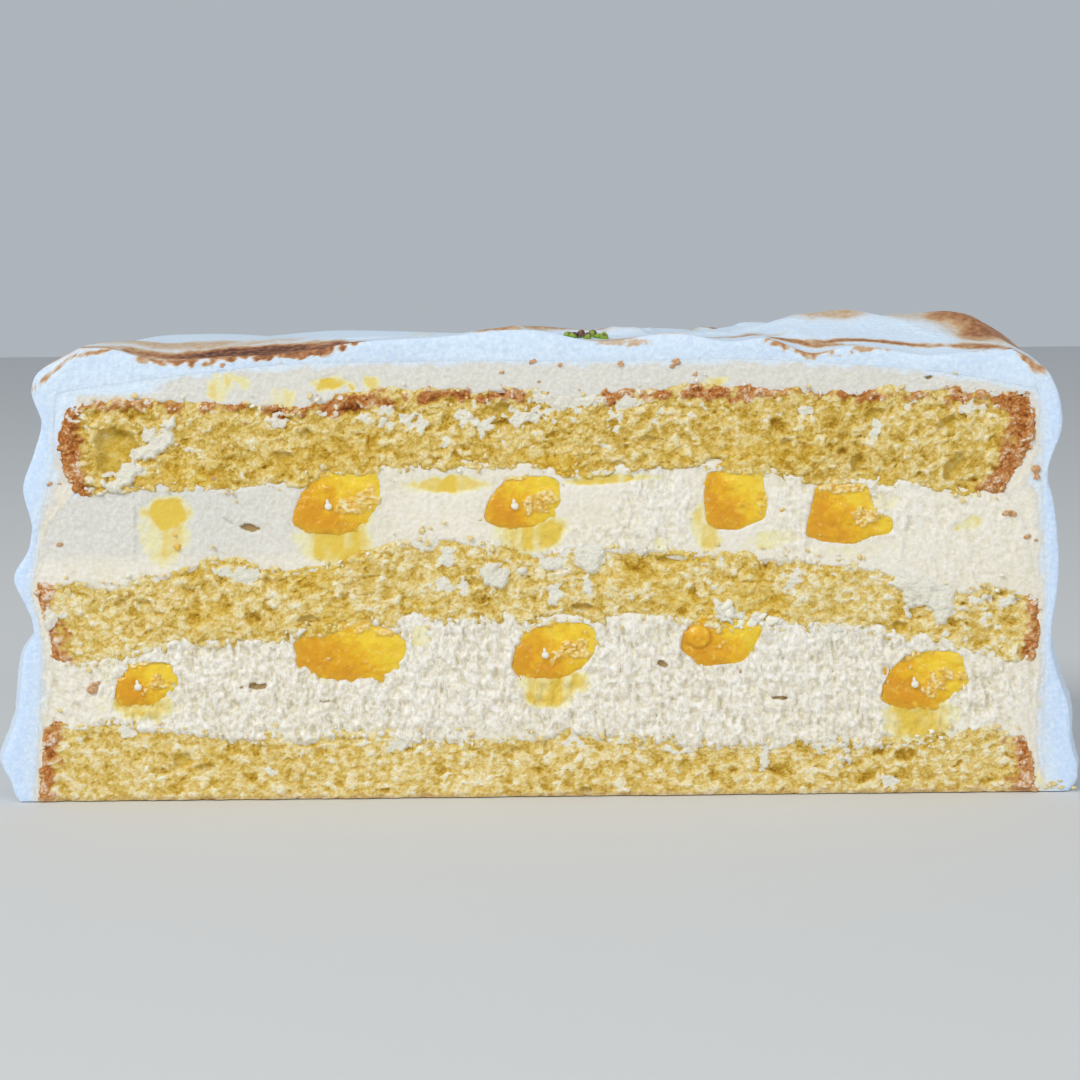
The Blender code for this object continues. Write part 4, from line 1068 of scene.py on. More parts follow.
def meringue_rows(u, w, angle, part):
    x, y, z, stand, blobs, crests = meringue_place(u, w, angle)
    outside = (part > 0.99) + 0.0
    # The whole outer face gets the painted bluish light.
    return {"toast": browning(x, y, z, stand, blobs, crests) * outside, "cool": 1 + 0 * x,
            "hollow": 0 * x}


def meringue_cut(x, z, share, thickness):
    """The cut band: smooth, faintly torn, browned along its upper rim."""
    relief = cream_relief(x, z) * (1 - share ** 6) + 0.4 * share ** 8
    # Besides its hollows, the outer edge of the meringue's cut band gets painted shade.
    hollow = np.maximum(smooth_step(0.45 + 1.5 * relief), share ** 2 * (z < 84))
    rim = smooth_step((share - 0.93) / 0.07) * smooth_step(0.2 + rough(x, z, 5.0, 9.0, 52))
    # Painted bluish light and shade: bluer where the band is thick and near the top, deeper blue low on the
    # sides.
    cool = smooth_step(share * thickness / 1.4 + 0.4 * rough(x, z, 0.0, 2.0, 53) + 0.4)
    cool = np.maximum(cool, smooth_step((z - 78) / 4))
    cool = cool + 0.5 * smooth_step((84 - z) / 8) * smooth_step(1.3 * share)
    toast = np.maximum(0.4 * rim * (z > 60), field(x, z, EDGE_BURNS, 0.7, 0.6, 54))
    return relief, {"toast": toast, "cool": cool, "hollow": hollow}


meringue_angles = np.radians(90 * np.linspace(0.03, 1, 130) ** 1.25)     # finer near the cut
meringue = hood_piece("meringue_swept", band_path(96, 360), 23, (0.8, 0), coat_outer,
                      meringue_outer, meringue_angles, meringue_cut, meringue_rows)

# %% [markdown]
# ## Lemon curd
# Each rope of curd runs behind the cut from a spot at the left to its twin at the right. A bevelled
# curve would be quicker, but it keeps one section all along, and the two ends differ. So the rope is
# a loft with fine sections. Its cut end is a patch of rings that bulges a little. Crumbs stuck to
# the wet curd where the knife pulled them over it. They are part of the same surface, with a mark
# of their own.

# %% Curd ropes
CURD_SIDES = 176
CURD_CAP = 34
RING_STEPS = 26
BULGE = 0.7
BUBBLE = (-0.5, 0.14, 0.28, 0.42)       # on the notched spot: its place and half sizes, as shares
BUBBLE_RISE = 0.9
WOBBLE = 0.10               # of a rope's thickness behind the cut
WOBBLES = 7
ROPE_HEIGHT = 0.94          # of a rope behind the cut, as a share of its cut end's
DROP_STEPS = 14
# Where crumbs stick to each kind of spot: ovals in shares of its half width and half height.
CRUMBED = {FISH: ((0.42, -0.02, 0.95, 0.62, 0.7, 1.0), (-0.30, 0.84, 1.5, 0.34, 0.25, 0.85),
                  (-0.97, -0.6, 0.14, 0.2, 0.0, 0.9)),
           BOWL: ((0.0, 0.9, 1.8, 0.42, 0.0, 0.9), (0.55, 0.62, 0.7, 0.3, -0.4, 0.8)),
           NOTCHED: ((0.35, 0.85, 1.2, 0.4, 0.0, 0.9),),
           PILLAR: ((0.2, 0.9, 1.4, 0.22, 0.0, 0.7), (0.75, -0.2, 0.5, 0.5, 0.0, 0.6)),
           STEPPED: ((-0.2, 0.85, 1.2, 0.4, 0.0, 0.9), (0.4, 0.0, 0.6, 0.6, 0.3, 0.6)),
           FAINT: ()}


def curd_section(spot_left, spot_right, share):
    """Offsets round one section of a rope, between the left cut end and the right one."""
    turns = np.arange(CURD_SIDES) * 2 * math.pi / CURD_SIDES
    as_left = outline_reach(spot_left[4])(math.pi - turns)
    as_right = outline_reach(spot_right[4])(turns)
    reach = as_left * (1 - share) + as_right * share
    both = zip(spot_left[:4], spot_right[:4])
    _, _, width, height = [a * (1 - share) + b * share for a, b in both]
    return width / 2 * reach * np.cos(turns), height / 2 * reach * np.sin(turns)


def curd_cap(spot, seed):
    """Rings over a cut end, from its rim to its middle: points, and marks of each point."""
    x, z, width, height, outline = spot
    turns = np.arange(CURD_SIDES)[None] * 2 * math.pi / CURD_SIDES
    inset = (1 - np.arange(CURD_CAP) / CURD_CAP)[:, None]
    reach = outline_reach(outline)(turns) * inset
    across = reach * np.cos(turns)
    up = reach * np.sin(turns)
    px = x + width / 2 * across
    pz = z + height / 2 * up
    ragged = 1 + (0.05 + 0.09 * rough(px, pz, 0.0, 2.2, seed)) * inset ** 3
    px = x + (px - x) * ragged
    pz = z + (pz - z) * ragged
    stuck = field(across, up, CRUMBED[outline], 0.0, 1.4, seed)
    stuck = smooth_step((stuck + 0.6 * rough(px, pz, 2.0, 1.5, seed + 2) - 0.42) / 0.3)
    grains, tint = domes(px, pz, 0.66, seed + 3)
    lumps = rough(px, pz, 3.0, 3.0, seed + 5)
    py = 0.4 - BULGE * (1 - inset ** 5) + 0.25 * lumps * (1 - inset ** 6)
    py = py - 0.05 * rough(px, pz, 0.0, 0.9, seed + 7) - stuck * (0.1 + 0.5 * grains)
    py = py + FAINT_DEPTH * (outline is FAINT)
    # Painted light: each spot is coloured lighter towards its right and its top.
    bright = smooth_step(0.5 + 0.6 * across + 0.35 * up)
    if outline is NOTCHED:
        away = np.hypot((across - BUBBLE[0]) / BUBBLE[2], (up - BUBBLE[1]) / BUBBLE[3])
        py = py - BUBBLE_RISE * np.sqrt(np.clip(1 - away ** 2, 0, 1))
        # The bubble gets a painted highlight inside and a painted dark ring of shade at its edge.
        bright = bright + 0.3 * (away < 1) - 0.6 * np.exp(-((away - 1) / 0.16) ** 2)
    marks = {"stuck": stuck, "tint": 0.5 * tint + 0.5 * grains, "rim": inset + 0 * px,
             "bright": bright}
    return np.stack([px, py, pz], -1), marks


def curd_piece(name, start, sections, end):
    """A rope of curd: sections of points along it, with a cap of rings at one or both ends."""
    points = [np.array(sections), end[0]]
    marks = {label: [np.zeros((len(sections), CURD_SIDES)), end[1][label]] for label in end[1]}
    if start:
        points.insert(0, start[0][::-1])
        for label in marks:
            marks[label].insert(0, start[1][label][::-1])
    rings = np.concatenate(points)
    faces = []
    for k in range(len(rings) - 1):
        near = k * CURD_SIDES + np.arange(CURD_SIDES)
        far = near + CURD_SIDES
        faces += np.stack([near, np.roll(near, -1), np.roll(far, -1), far], -1).tolist()
    last = len(rings) * CURD_SIDES
    faces.append(list(range(CURD_SIDES))[::-1])
    faces.append(list(range(last - CURD_SIDES, last)))
    full = {label: np.concatenate(values).ravel() for label, values in marks.items()}
    return closed_mesh(name, rings.reshape(-1, 3), faces, full)


def curd_ring(name, left, right):
    middle = (left[0] + right[0]) / 2
    reach = (right[0] - left[0]) / 2
    sections = []
    for step in range(1, RING_STEPS):
        share = step / RING_STEPS
        angle = math.pi * share
        z = left[1] * (1 - share) + right[1] * share
        wobble = 1 + WOBBLE * math.sin(WOBBLES * angle) * math.sin(angle)
        aside, rise = curd_section(left, right, share)
        away = reach + aside * wobble
        sections.append(np.stack([middle - away * math.cos(angle), away * math.sin(angle),
                                  z + ROPE_HEIGHT * rise], -1))
    mirrored = (CURD_SIDES // 2 - np.arange(CURD_SIDES)) % CURD_SIDES
    points, marks = curd_cap(left, 71)
    start = (points[:, mirrored], {label: values[:, mirrored] for label, values in marks.items()})
    return curd_piece(name, start, sections, curd_cap(right, 77))


def curd_drop(name, spot):
    x, z, width, height, _ = spot
    sections = []
    for share in np.linspace(1.0, 0.06, DROP_STEPS):
        shrink = 0.97 * math.sqrt(1 - 0.97 * share * share)
        aside, rise = curd_section(spot, spot, 1.0)
        sections.append(np.stack([x + aside * shrink, width / 2 * share + 0 * aside,
                                  z + rise * shrink], -1))
    return curd_piece(name, None, sections, curd_cap(spot, 83))


curds = {}
for node, ends in RINGS.items():
    curds[node] = curd_ring(node.replace("curd", "lemon"), *ends)
for node, spot in DROPS.items():
    curds[node] = curd_drop(node.replace("curd", "lemon"), spot)

# %% [markdown]
# ## Loose bits
# Cutting left crumbs on the curd, on the cream and at the foot, and a drop of cream on most of the
# curd spots. Each bit is an icosphere that hills pull out of round. They are many, so they stay at
# their true size in one mesh, which carries a number for what each bit is.

# %% Scatter bits on the cut
KINDS = {"crumb": 0.0, "crust": 0.35, "curd": 0.65, "cream": 1.0}


def unit_ball():
    """Points and faces of an icosphere one unit across."""
    bm = bmesh.new()
    bmesh.ops.create_icosphere(bm, subdivisions=2, radius=0.5)
    bm.verts.index_update()
    points = np.array([vert.co[:] for vert in bm.verts])
    faces = np.array([[vert.index for vert in face.verts] for face in bm.faces])
    bm.free()
    return points, faces


def bits_mesh(name, bits):
    """One mesh of small lumps. Each bit: place, size along x, y and z, turn, kind, smoothness."""
    ball, faces = unit_ball()
    places, sizes, turns, kinds, evens = zip(*bits)
    number = np.arange(len(bits))[:, None]
    far = ball[None] + number[..., None] * np.array([3.1, 1.7, 0.0])
    uneven = 0.9 * (1 - np.array(evens)[:, None]) * hills(*far.transpose(2, 0, 1), 0.5, 12)
    lump = ball[None] * (1 + uneven[..., None]) * np.array(sizes)[:, None]
    cosine = np.cos(turns)[:, None]
    sine = np.sin(turns)[:, None]
    x, y, z = lump.transpose(2, 0, 1)
    turned = np.stack([x * cosine - z * sine, y, x * sine + z * cosine], -1)
    points = (turned + np.array(places)[:, None]).reshape(-1, 3)
    own_faces = faces[None] + len(ball) * number[..., None]
    marks = {"kind": np.repeat([KINDS[kind] for kind in kinds], len(ball))}
    return closed_mesh(name, points, own_faces.reshape(-1, 3).tolist(), marks)


# Bits that can be picked out in the photograph: its pixels x and y, size in pixels, kind.
LONE_BITS = ((59, 545, 4, "crust"), (92, 690, 7, "crust"), (96, 684, 6, "crust"), (1008, 512, 7, "crust"),
             (1014, 514, 5, "crust"), (1028, 536, 5, "crust"), (1036, 540, 3, "crust"),
             (1036, 470, 7, "crust"), (1037, 478, 5, "crust"), (502, 372, 4, "crust"),
             (534, 361, 6, "crust"), (538, 382, 3, "crust"), (560, 365, 4, "crust"),
             (621, 365, 6, "crust"), (676, 362, 7, "crust"), (672, 366, 4, "crust"),
             (696, 374, 4, "crust"), (782, 510, 4, "curd"), (740, 671, 3, "crust"), (177, 547, 5, "curd"),
             (175, 535, 3, "curd"), (214, 478, 3, "crust"), (246, 423, 3, "crust"), (222, 365, 4, "crust"),
             (50, 484, 4, "crust"), (60, 483, 3, "crust"), (725, 605, 13, "cream"), (732, 613, 13, "cream"),
             (739, 622, 9, "cream"), (752, 622, 8, "cream"), (761, 617, 7, "cream"),
             (771, 621, 8, "cream"), (748, 630, 5, "cream"))
# Crumbs along the layers' edges: number of the face, from x, to x, how many.
EDGE_CRUMBS = ((5, -92, 96, 50), (4, -90, 96, 50), (3, -96, 98, 90), (2, -96, 98, 50),
               (1, -98, 98, 100))
FOOT_CRUMBS = 46
FOOT_PLACE = 104.0          # mm to the right of the middle


def edge_crumbs(rng, face, low, high, count):
    """Crumbs dragged over the edge between two layers."""
    bits = []
    for x in rng.uniform(low, high, count):
        size = rng.uniform(0.25, 0.8) * rng.uniform(0.7, 1.6, 3)
        z = float(FACES[face](np.array(x), np.array(0.0))) + rng.normal(0, 1.1)
        kind = "crust" if face == 5 and rng.random() < 0.3 else "crumb"
        kind = "cream" if rng.random() < 0.3 else kind
        bits.append(((x, -0.2 - 0.25 * rng.random(), z), size, rng.uniform(0, 3), kind, 0.0))
    return bits


def loose_bits():
    rng = np.random.default_rng(12)
    bits = []
    for face, low, high, count in EDGE_CRUMBS:
        bits += edge_crumbs(rng, face, low, high, count)
    for px, py, across, kind in LONE_BITS:
        x, z = on_cut(px, py)
        size = across * PIXEL
        bits.append(((x, -0.1, z), (1.3 * size, 0.7 * size, size), 0.4, kind, 0.0))
    for _ in range(FOOT_CRUMBS):
        size = rng.uniform(0.4, 1.1)
        place = (FOOT_PLACE + 2.0 * rng.normal(), 0.5 * rng.random(), 0.6 + 1.6 * rng.random() ** 2)
        bits.append((place, (1.2 * size, size, 0.7 * size), 0.0, "crumb", 0.0))
    return bits


DROP_PLACE = (-0.17, -0.12)
DROP_SIZE = (1.6, 0.9, 1.5)
WIDE_SPOT = 10.0            # mm; a narrower spot of curd carries no drop


def cream_drops():
    """The white drop on each fish-shaped spot of curd, with its tip upwards."""
    bits = []
    fishes = [spot for ends in RINGS.values() for spot in ends
              if spot[4] is FISH and spot[2] > WIDE_SPOT]
    for x, z, width, height, _ in fishes + list(DROPS.values()):
        px = x + DROP_PLACE[0] * width / 2
        pz = z + DROP_PLACE[1] * height / 2
        bits.append(((px, -0.55, pz), DROP_SIZE, 0.0, "cream", 0.9))
        bits.append(((px - 0.15, -0.5, pz + 0.75), (0.7, 0.6, 1.6), 0.15, "cream", 0.9))
    return bits


crumbs = bits_mesh("crumbs_on_cut", loose_bits())
drops = bits_mesh("cream_drops", cream_drops())

# %% [markdown]
# ## Chopped pistachio
# A pinch of chopped nuts lies just behind the cut, each nib half sunk in the meringue. Each could
# be modelled by hand, but they are only a few pixels high in the picture, so the function that made
# the crumbs makes them too.

# %% Pistachio nibs
NIB_PLACE = (10.6, 8.5)
NIB_SPREAD = (4.4, 3.2)
NIB_SIZE = 1.5
NIB_COUNT = 7
NIB_SEED = 4


def pistachio_nibs():
    rng = np.random.default_rng(NIB_SEED)
    bits = []
    for i in range(NIB_COUNT):
        x = NIB_PLACE[0] + NIB_SPREAD[0] * (2 * (i + 0.5) / NIB_COUNT - 1)
        y = NIB_PLACE[1] + NIB_SPREAD[1] * rng.uniform(-1, 1)
        z = float(meringue_top(np.array(x), np.array(y))[0]) + 0.35 * NIB_SIZE
        size = NIB_SIZE * rng.uniform(0.85, 1.5, 3)
        bits.append(((x, y, z), size, 0.0, "crumb", 0.5))
    return bits


nibs = bits_mesh("pistachio_nibs", pistachio_nibs())

# %% [markdown]
# ## Finishes
# Shader sums read best as sums, so one small class wraps a node's output and turns Python's
# operators into Math nodes. Every other node comes from a single method.

# %% A finish and its signals
class Signal:
    """The output of a node, for use in sums."""

    def __init__(self, finish, socket):
        self.finish = finish
        self.socket = socket

    def sum(self, operation, first, second=0.0, clamp=False):
        settings = {"operation": operation, "use_clamp": clamp}
        return self.finish.add("ShaderNodeMath", settings, {0: first, 1: second})

    def __add__(self, other):
        return self.sum("ADD", self, other)

    def __radd__(self, other):
        return self.sum("ADD", other, self)

    def __sub__(self, other):
        return self.sum("SUBTRACT", self, other)

    def __rsub__(self, other):
        return self.sum("SUBTRACT", other, self)

    def __mul__(self, other):
        return self.sum("MULTIPLY", self, other)

    def __rmul__(self, other):
        return self.sum("MULTIPLY", other, self)

    def __abs__(self):
        return self.sum("ABSOLUTE", self)

    def clipped(self):
        return self.sum("ADD", self, 0.0, True)

    def between(self, low, high):
        """0 below low, 1 above high, smooth between."""
        settings = {"interpolation_type": "SMOOTHSTEP"}
        sockets = {"Value": self, "From Min": low, "From Max": high, "To Min": 0.0, "To Max": 1.0}
        return self.finish.add("ShaderNodeMapRange", settings, sockets)


class Finish:
    """A material, whose nodes all come from add()."""

    def __init__(self, name, **constants):
        self.material = bpy.data.materials.new(name)
        self.material.use_nodes = True
        self.tree = self.material.node_tree
        self.shader = self.tree.nodes["Principled BSDF"]
        for label, value in constants.items():
            self.shader.inputs[label.replace("_", " ")].default_value = value

    def add(self, kind, settings=None, sockets=None, output=0):
        node = self.tree.nodes.new(kind)
        for label, value in (settings or {}).items():
            if label == "stops":
                ramp = node.color_ramp
                while len(ramp.elements) < len(value):
                    ramp.elements.new(0.5)
                for element, (place, colour) in zip(ramp.elements, value):
                    element.position = place
                    element.color = (*colour, 1.0)
            else:
                setattr(node, label, value)
        for label, value in (sockets or {}).items():
            self.feed(node.inputs[label], value)
        return Signal(self, node.outputs[output])

    def feed(self, socket, value):
        if isinstance(value, Signal):
            self.tree.links.new(value.socket, socket)
        elif socket.type == "RGBA":
            socket.default_value = (*value, 1.0)
        else:
            socket.default_value = value

    def mark(self, label):
        """One of the numbers that a piece's mesh carries."""
        return self.add("ShaderNodeAttribute", {"attribute_name": label}, output=2)

    def noise(self, size, detail=2.0, roughness=0.5, upright=1.0):
        """Random hills about size millimetres apart, 0 to 1. upright draws them out in height."""
        place = self.add("ShaderNodeTexCoord", output=3)
        if upright > 1.0:
            place = self.add("ShaderNodeVectorMath", {"operation": "MULTIPLY"},
                             {0: place, 1: (1.0, 1.0, 1.0 / upright)})
        sockets = {"Vector": place, "Scale": 1000.0 / size, "Detail": detail, "Roughness": roughness}
        return self.add("ShaderNodeTexNoise", {}, sockets)

    def ramp(self, value, stops):
        return self.add("ShaderNodeValToRGB", {"stops": stops}, {"Fac": value})

    def blend(self, share, first, second):
        settings = {"data_type": "RGBA"}
        return self.add("ShaderNodeMix", settings, {0: share, 6: first, 7: second}, output=2)

    def bump(self, height, distance):
        sockets = {"Height": height, "Distance": distance * MM, "Strength": 1.0}
        return self.add("ShaderNodeBump", {}, sockets)

    def use(self, **links):
        for label, value in links.items():
            self.feed(self.shader.inputs[label.replace("_", " ")], value)
        print(self.material.name, "has", len(self.tree.nodes), "nodes")
        return self.material


FINISHES = {}

# %% [markdown]
# Torn crumb is pale on its lumps and a darker gold in its crevices. That is partly its own colour
# and partly painted shade, since the colour follows how far each lump stands out. The mesh already
# knows how far each lump stands out and where crust, cream and curd lie, so the finish reads those
# numbers and noise only varies them.

# %% Sponge finish
CRUMB_STOPS = ((0.0, (0.34, 0.16, 0.008)), (0.28, (0.60, 0.365, 0.035)),
               (0.55, (0.80, 0.58, 0.165)), (0.8, (0.93, 0.78, 0.42)), (1.0, (0.97, 0.91, 0.76)))
GOLD_STOPS = ((0.0, (0.44, 0.20, 0.004)), (0.5, (0.75, 0.46, 0.03)), (1.0, (0.92, 0.72, 0.20)))
CRUST_STOPS = ((0.0, (0.18, 0.04, 0.006)), (0.38, (0.50, 0.165, 0.03)), (0.7, (0.67, 0.34, 0.12)),
               (1.0, (0.90, 0.73, 0.60)))


def sponge_finish():
    finish = Finish("sponge_crumb", Specular_IOR_Level=0.25, Subsurface_Weight=0.2,
                    Subsurface_Scale=0.002, Subsurface_Radius=(1.0, 0.7, 0.3))
    speck = finish.noise(0.55, 3.0, 0.6)
    cloud = finish.noise(9.0, 2.0)
    grain = (speck - 0.5) * 0.9 + (cloud - 0.5) * 0.3
    tone_and_shade = finish.mark("stand") * 0.62 + finish.mark("tint") * 0.42 + grain + 0.04
    colour = finish.blend(finish.mark("stain").clipped() * 0.85, finish.ramp(tone_and_shade, CRUMB_STOPS),
                          finish.ramp(tone_and_shade, GOLD_STOPS))
    # Holes lie back and are coloured a darker gold: the crumb's colour with painted shade in the recess.
    colour = finish.blend(finish.mark("hole") * 0.6, colour, (0.66, 0.45, 0.05))
    browned = (finish.mark("crust") + grain * 1.6).between(0.25, 0.85)
    colour = finish.blend(browned, colour, finish.ramp(tone_and_shade + grain * 0.7, CRUST_STOPS))
    colour = finish.blend(finish.mark("under") * 0.6, colour, (0.56, 0.36, 0.17))
    smear = (finish.mark("cream") + (speck - 0.5) * 0.6).between(0.3, 0.75)
    colour = finish.blend(smear * 0.9, colour, (0.88, 0.86, 0.76))
    return finish.use(Base_Color=colour, Roughness=0.75 - smear * 0.25,
                      Normal=finish.bump(speck + finish.noise(0.3, 2.0) * 0.5, 0.45))


FINISHES["sponge"] = sponge_finish()

# %% [markdown]
# Whipped cream is ivory and soft in the light. On the small peaks and hollows that the knife left,
# specks of painted highlight and painted shade stand in for light, and the hollows of the relief get
# a painted yellowish shade. Towards the meringue, the top and the left it gets a painted bluish
# shade, greyer and then bluer. An image would fit only this one cut, so noise does the fine part:
# plain for the specks, and drawn out in height for the upright tears, whose grooves get a painted
# dark line of shade. The mesh's numbers say where the curd has turned the cream gold.

# %% Cream finish
IVORY = (0.875, 0.825, 0.72)
# The next two colours are painted: a grey shade, and white tinted blue for the sky's light.
SHADE = (0.72, 0.70, 0.64)
COOL_LIT_WHITE = (0.70, 0.83, 0.97)
CREAM_HIGHLIGHT = (0.97, 0.95, 0.92)
CREAM_SPECK_SHADE = (0.64, 0.60, 0.44)
CURD_TINGE = (0.86, 0.79, 0.40)
CURD_SOAKED = (0.80, 0.57, 0.08)


def cream_finish():
    finish = Finish("whipped_cream", Specular_IOR_Level=0.35, Subsurface_Weight=0.2,
                    Subsurface_Scale=0.002, Subsurface_Radius=(1.0, 0.85, 0.6))
    fine = finish.noise(0.8, 3.0)
    cloud = finish.noise(16.0, 2.0).between(0.3, 0.7)
    body = finish.blend(cloud, IVORY, (0.86, 0.80, 0.67))
    # Painted yellowish shade in the hollows of the relief.
    colour = finish.blend(finish.mark("hollow") * 0.5, body, (0.67, 0.58, 0.34))
    cool = finish.mark("cool")
    # Painted bluish shade: first grey, then blue-white.
    colour = finish.blend(cool.between(0.0, 0.5), colour, SHADE)
    colour = finish.blend(cool.between(0.5, 1.0), colour, COOL_LIT_WHITE)
    light_shade_specks = finish.noise(0.8, 3.0, 0.6)
    torn = finish.mark("torn")
    grain = torn * 0.75 + 0.25
    tears = finish.noise(1.3, 2.0, 0.5, 2.2) - 0.5
    tears = (1.0 - abs(tears) * 18.0).clipped() * torn
    # Painted shade: a dark line along the groove of each tear.
    colour = finish.blend(tears * 0.3, colour, (0.62, 0.50, 0.22))
    # Specks of painted highlight and painted shade, stronger where the knife tore the cream.
    colour = finish.blend(light_shade_specks.between(0.46, 0.60) * 0.58 * grain, colour, CREAM_HIGHLIGHT)
    colour = finish.blend((1.0 - light_shade_specks).between(0.51, 0.65) * 0.32 * grain, colour, CREAM_SPECK_SHADE)
    soaked = (finish.mark("soaked") + (finish.noise(2.0, 3.0) - 0.5) * 0.35).between(0.12, 1.0)
    colour = finish.blend(soaked.between(0.0, 0.45) * 0.8, colour, CURD_TINGE)
    colour = finish.blend(soaked.between(0.35, 1.0), colour, CURD_SOAKED)
    # The slits lie back from the cut and are painted dark brown: painted shade inside them.
    colour = finish.blend(finish.mark("slit").between(0.2, 0.7) * 0.9, colour, (0.34, 0.20, 0.04))
    return finish.use(Base_Color=colour, Roughness=0.55 - soaked * 0.15,
                      Normal=finish.bump(fine - tears * 0.3, 0.22))


FINISHES["cream"] = cream_finish()

# %% [markdown]
# Meringue is the whitest thing on the cake. Beside the cream it is painted a little blue, standing
# in for the sky's bluish light, with deeper blue as painted shade low on the sides of the cut,
# grey-blue painted shade in its hollows and on the cut's outer edge, and specks of painted highlight
# and shade. The torch turned its lips tan, then brown, then nearly black. Two materials would show a
# border between them, so one ramp runs through all those colours, and the mesh's number for toasting
# picks the place on it.

# %% Meringue finish
MERINGUE_HIGHLIGHT = (0.92, 0.95, 0.98)
MERINGUE_SPECK_SHADE = (0.55, 0.66, 0.86)
TOAST_STOPS = ((0.0, COOL_LIT_WHITE), (0.15, (0.70, 0.70, 0.68)), (0.38, (0.60, 0.40, 0.22)),
               (0.62, (0.42, 0.18, 0.07)), (0.85, (0.16, 0.05, 0.02)), (1.0, (0.06, 0.022, 0.012)))


def meringue_finish():
    finish = Finish("torched_meringue", Specular_IOR_Level=0.3, Subsurface_Weight=0.2,
                    Subsurface_Scale=0.003, Subsurface_Radius=(0.8, 0.9, 1.0))
    speck = finish.noise(1.2, 3.0)
    toast = (finish.mark("toast") + (speck - 0.5) * finish.mark("toast") * 1.1).clipped()
    cool = finish.mark("cool")
    # Where the painted bluish light is full, the untoasted meringue is blue-white instead of ivory.
    body = finish.blend(cool.clipped(), IVORY, finish.ramp(toast, TOAST_STOPS))
    white = (1.0 - toast * 2.0).clipped()
    # Painted grey-blue shade in the hollows and along the outer edge of the cut band.
    colour = finish.blend(finish.mark("hollow") * 0.4 * white, body, (0.48, 0.58, 0.74))
    light_shade_specks = finish.noise(0.8, 3.0, 0.6)
    # Deeper blue painted shade low on the sides of the cut.
    colour = finish.blend(cool.between(1.0, 1.5) * white, colour, (0.62, 0.76, 0.98))
    # Specks of painted highlight and blue painted shade on the untoasted meringue.
    colour = finish.blend(light_shade_specks.between(0.48, 0.62) * 0.26 * white, colour, MERINGUE_HIGHLIGHT)
    colour = finish.blend((1.0 - light_shade_specks).between(0.50, 0.64) * 0.2 * white, colour, MERINGUE_SPECK_SHADE)
    return finish.use(Base_Color=colour, Roughness=0.42 + toast * 0.2,
                      Normal=finish.bump(finish.noise(1.1, 3.0), 0.22))


FINISHES["meringue"] = meringue_finish()

# %% [markdown]
# Lemon curd is a wet gel: light goes in and comes out yellow, and its skin shines. A shader for
# glass would look too clear, so light scatters a little below the surface, and a thin clear coat
# lies over it. Crumbs stuck to it are dry and pale, so their number in the mesh takes the shine
# away again.

# %% Curd finish
CURD_STOPS = ((0.0, (0.72, 0.32, 0.002)), (0.5, (0.83, 0.45, 0.004)), (1.0, (0.90, 0.62, 0.03)))
STUCK_STOPS = ((0.0, (0.62, 0.30, 0.01)), (0.4, (0.82, 0.53, 0.09)), (1.0, (0.93, 0.78, 0.46)))


def curd_finish():
    finish = Finish("lemon_curd", Specular_IOR_Level=0.4, Subsurface_Weight=0.25,
                    Subsurface_Scale=0.003, Subsurface_Radius=(1.0, 0.5, 0.1), Coat_Weight=0.22,
                    Coat_Roughness=0.06)
    cloud = (finish.noise(2.4, 4.0, 0.6) - 0.5) * 1.8
    # The painted light across each spot picks its place on the ramp.
    colour = finish.ramp(finish.mark("bright") + cloud, CURD_STOPS)
    pale = finish.noise(1.7, 4.0, 0.6).between(0.55, 0.72) * 0.6
    colour = finish.blend(pale, colour, (0.92, 0.66, 0.10))
    rim = finish.mark("rim")
    thin = (rim * rim * rim * rim * rim * rim).clipped() * 0.35
    colour = finish.blend(thin, colour, (0.88, 0.58, 0.06))
    stuck = finish.mark("stuck").clipped()
    grains = finish.mark("tint") + (finish.noise(0.5, 2.0) - 0.5) * 0.6
    colour = finish.blend(stuck, colour, finish.ramp(grains, STUCK_STOPS))
    wet = 0.16 + finish.noise(2.0, 2.0) * 0.15 + stuck * 0.4
    return finish.use(Base_Color=colour, Roughness=wet,
                      Normal=finish.bump(finish.noise(1.1, 4.0), 0.34))


FINISHES["curd"] = curd_finish()

# %% [markdown]
# The loose bits are crumb, crust, curd and cream in one mesh. Four materials would need four slots
# or four meshes. One ramp is enough, because each bit carries a number for what it is.

# %% Finish of the loose bits
def bits_finish():
    finish = Finish("loose_crumbs", Specular_IOR_Level=0.3, Subsurface_Weight=0.2,
                    Subsurface_Scale=0.001, Subsurface_Radius=(1.0, 0.7, 0.3))
    speck = finish.noise(0.6, 2.0)
    stops = ((0.0, (0.78, 0.60, 0.24)), (0.25, (0.78, 0.56, 0.26)), (0.35, (0.52, 0.25, 0.10)),
             (0.5, (0.52, 0.25, 0.10)), (0.65, (0.80, 0.45, 0.02)), (0.8, (0.84, 0.78, 0.60)),
             (1.0, (0.88, 0.86, 0.76)))
    colour = finish.ramp(finish.mark("kind"), stops)
    colour = finish.blend(speck.between(0.3, 0.75) * 0.45, colour, (0.88, 0.74, 0.50))
    return finish.use(Base_Color=colour, Roughness=0.55 + speck * 0.2,
                      Normal=finish.bump(speck, 0.1))


FINISHES["bits"] = bits_finish()

# %% [markdown]
# A chopped pistachio is green inside and keeps bits of its purple-brown skin. Coarse noise decides
# which of the two shows. A second material for the skin would be wasted on nibs this small.

# %% Pistachio finish
def nut_finish():
    finish = Finish("chopped_pistachio", Specular_IOR_Level=0.35)
    kind = finish.noise(2.2, 1.0).between(0.54, 0.62)
    colour = finish.blend(kind, (0.26, 0.40, 0.04), (0.16, 0.06, 0.06))
    return finish.use(Base_Color=colour, Roughness=0.6 + kind * 0.1,
                      Normal=finish.bump(finish.noise(0.4, 2.0), 0.1))


FINISHES["nut"] = nut_finish()

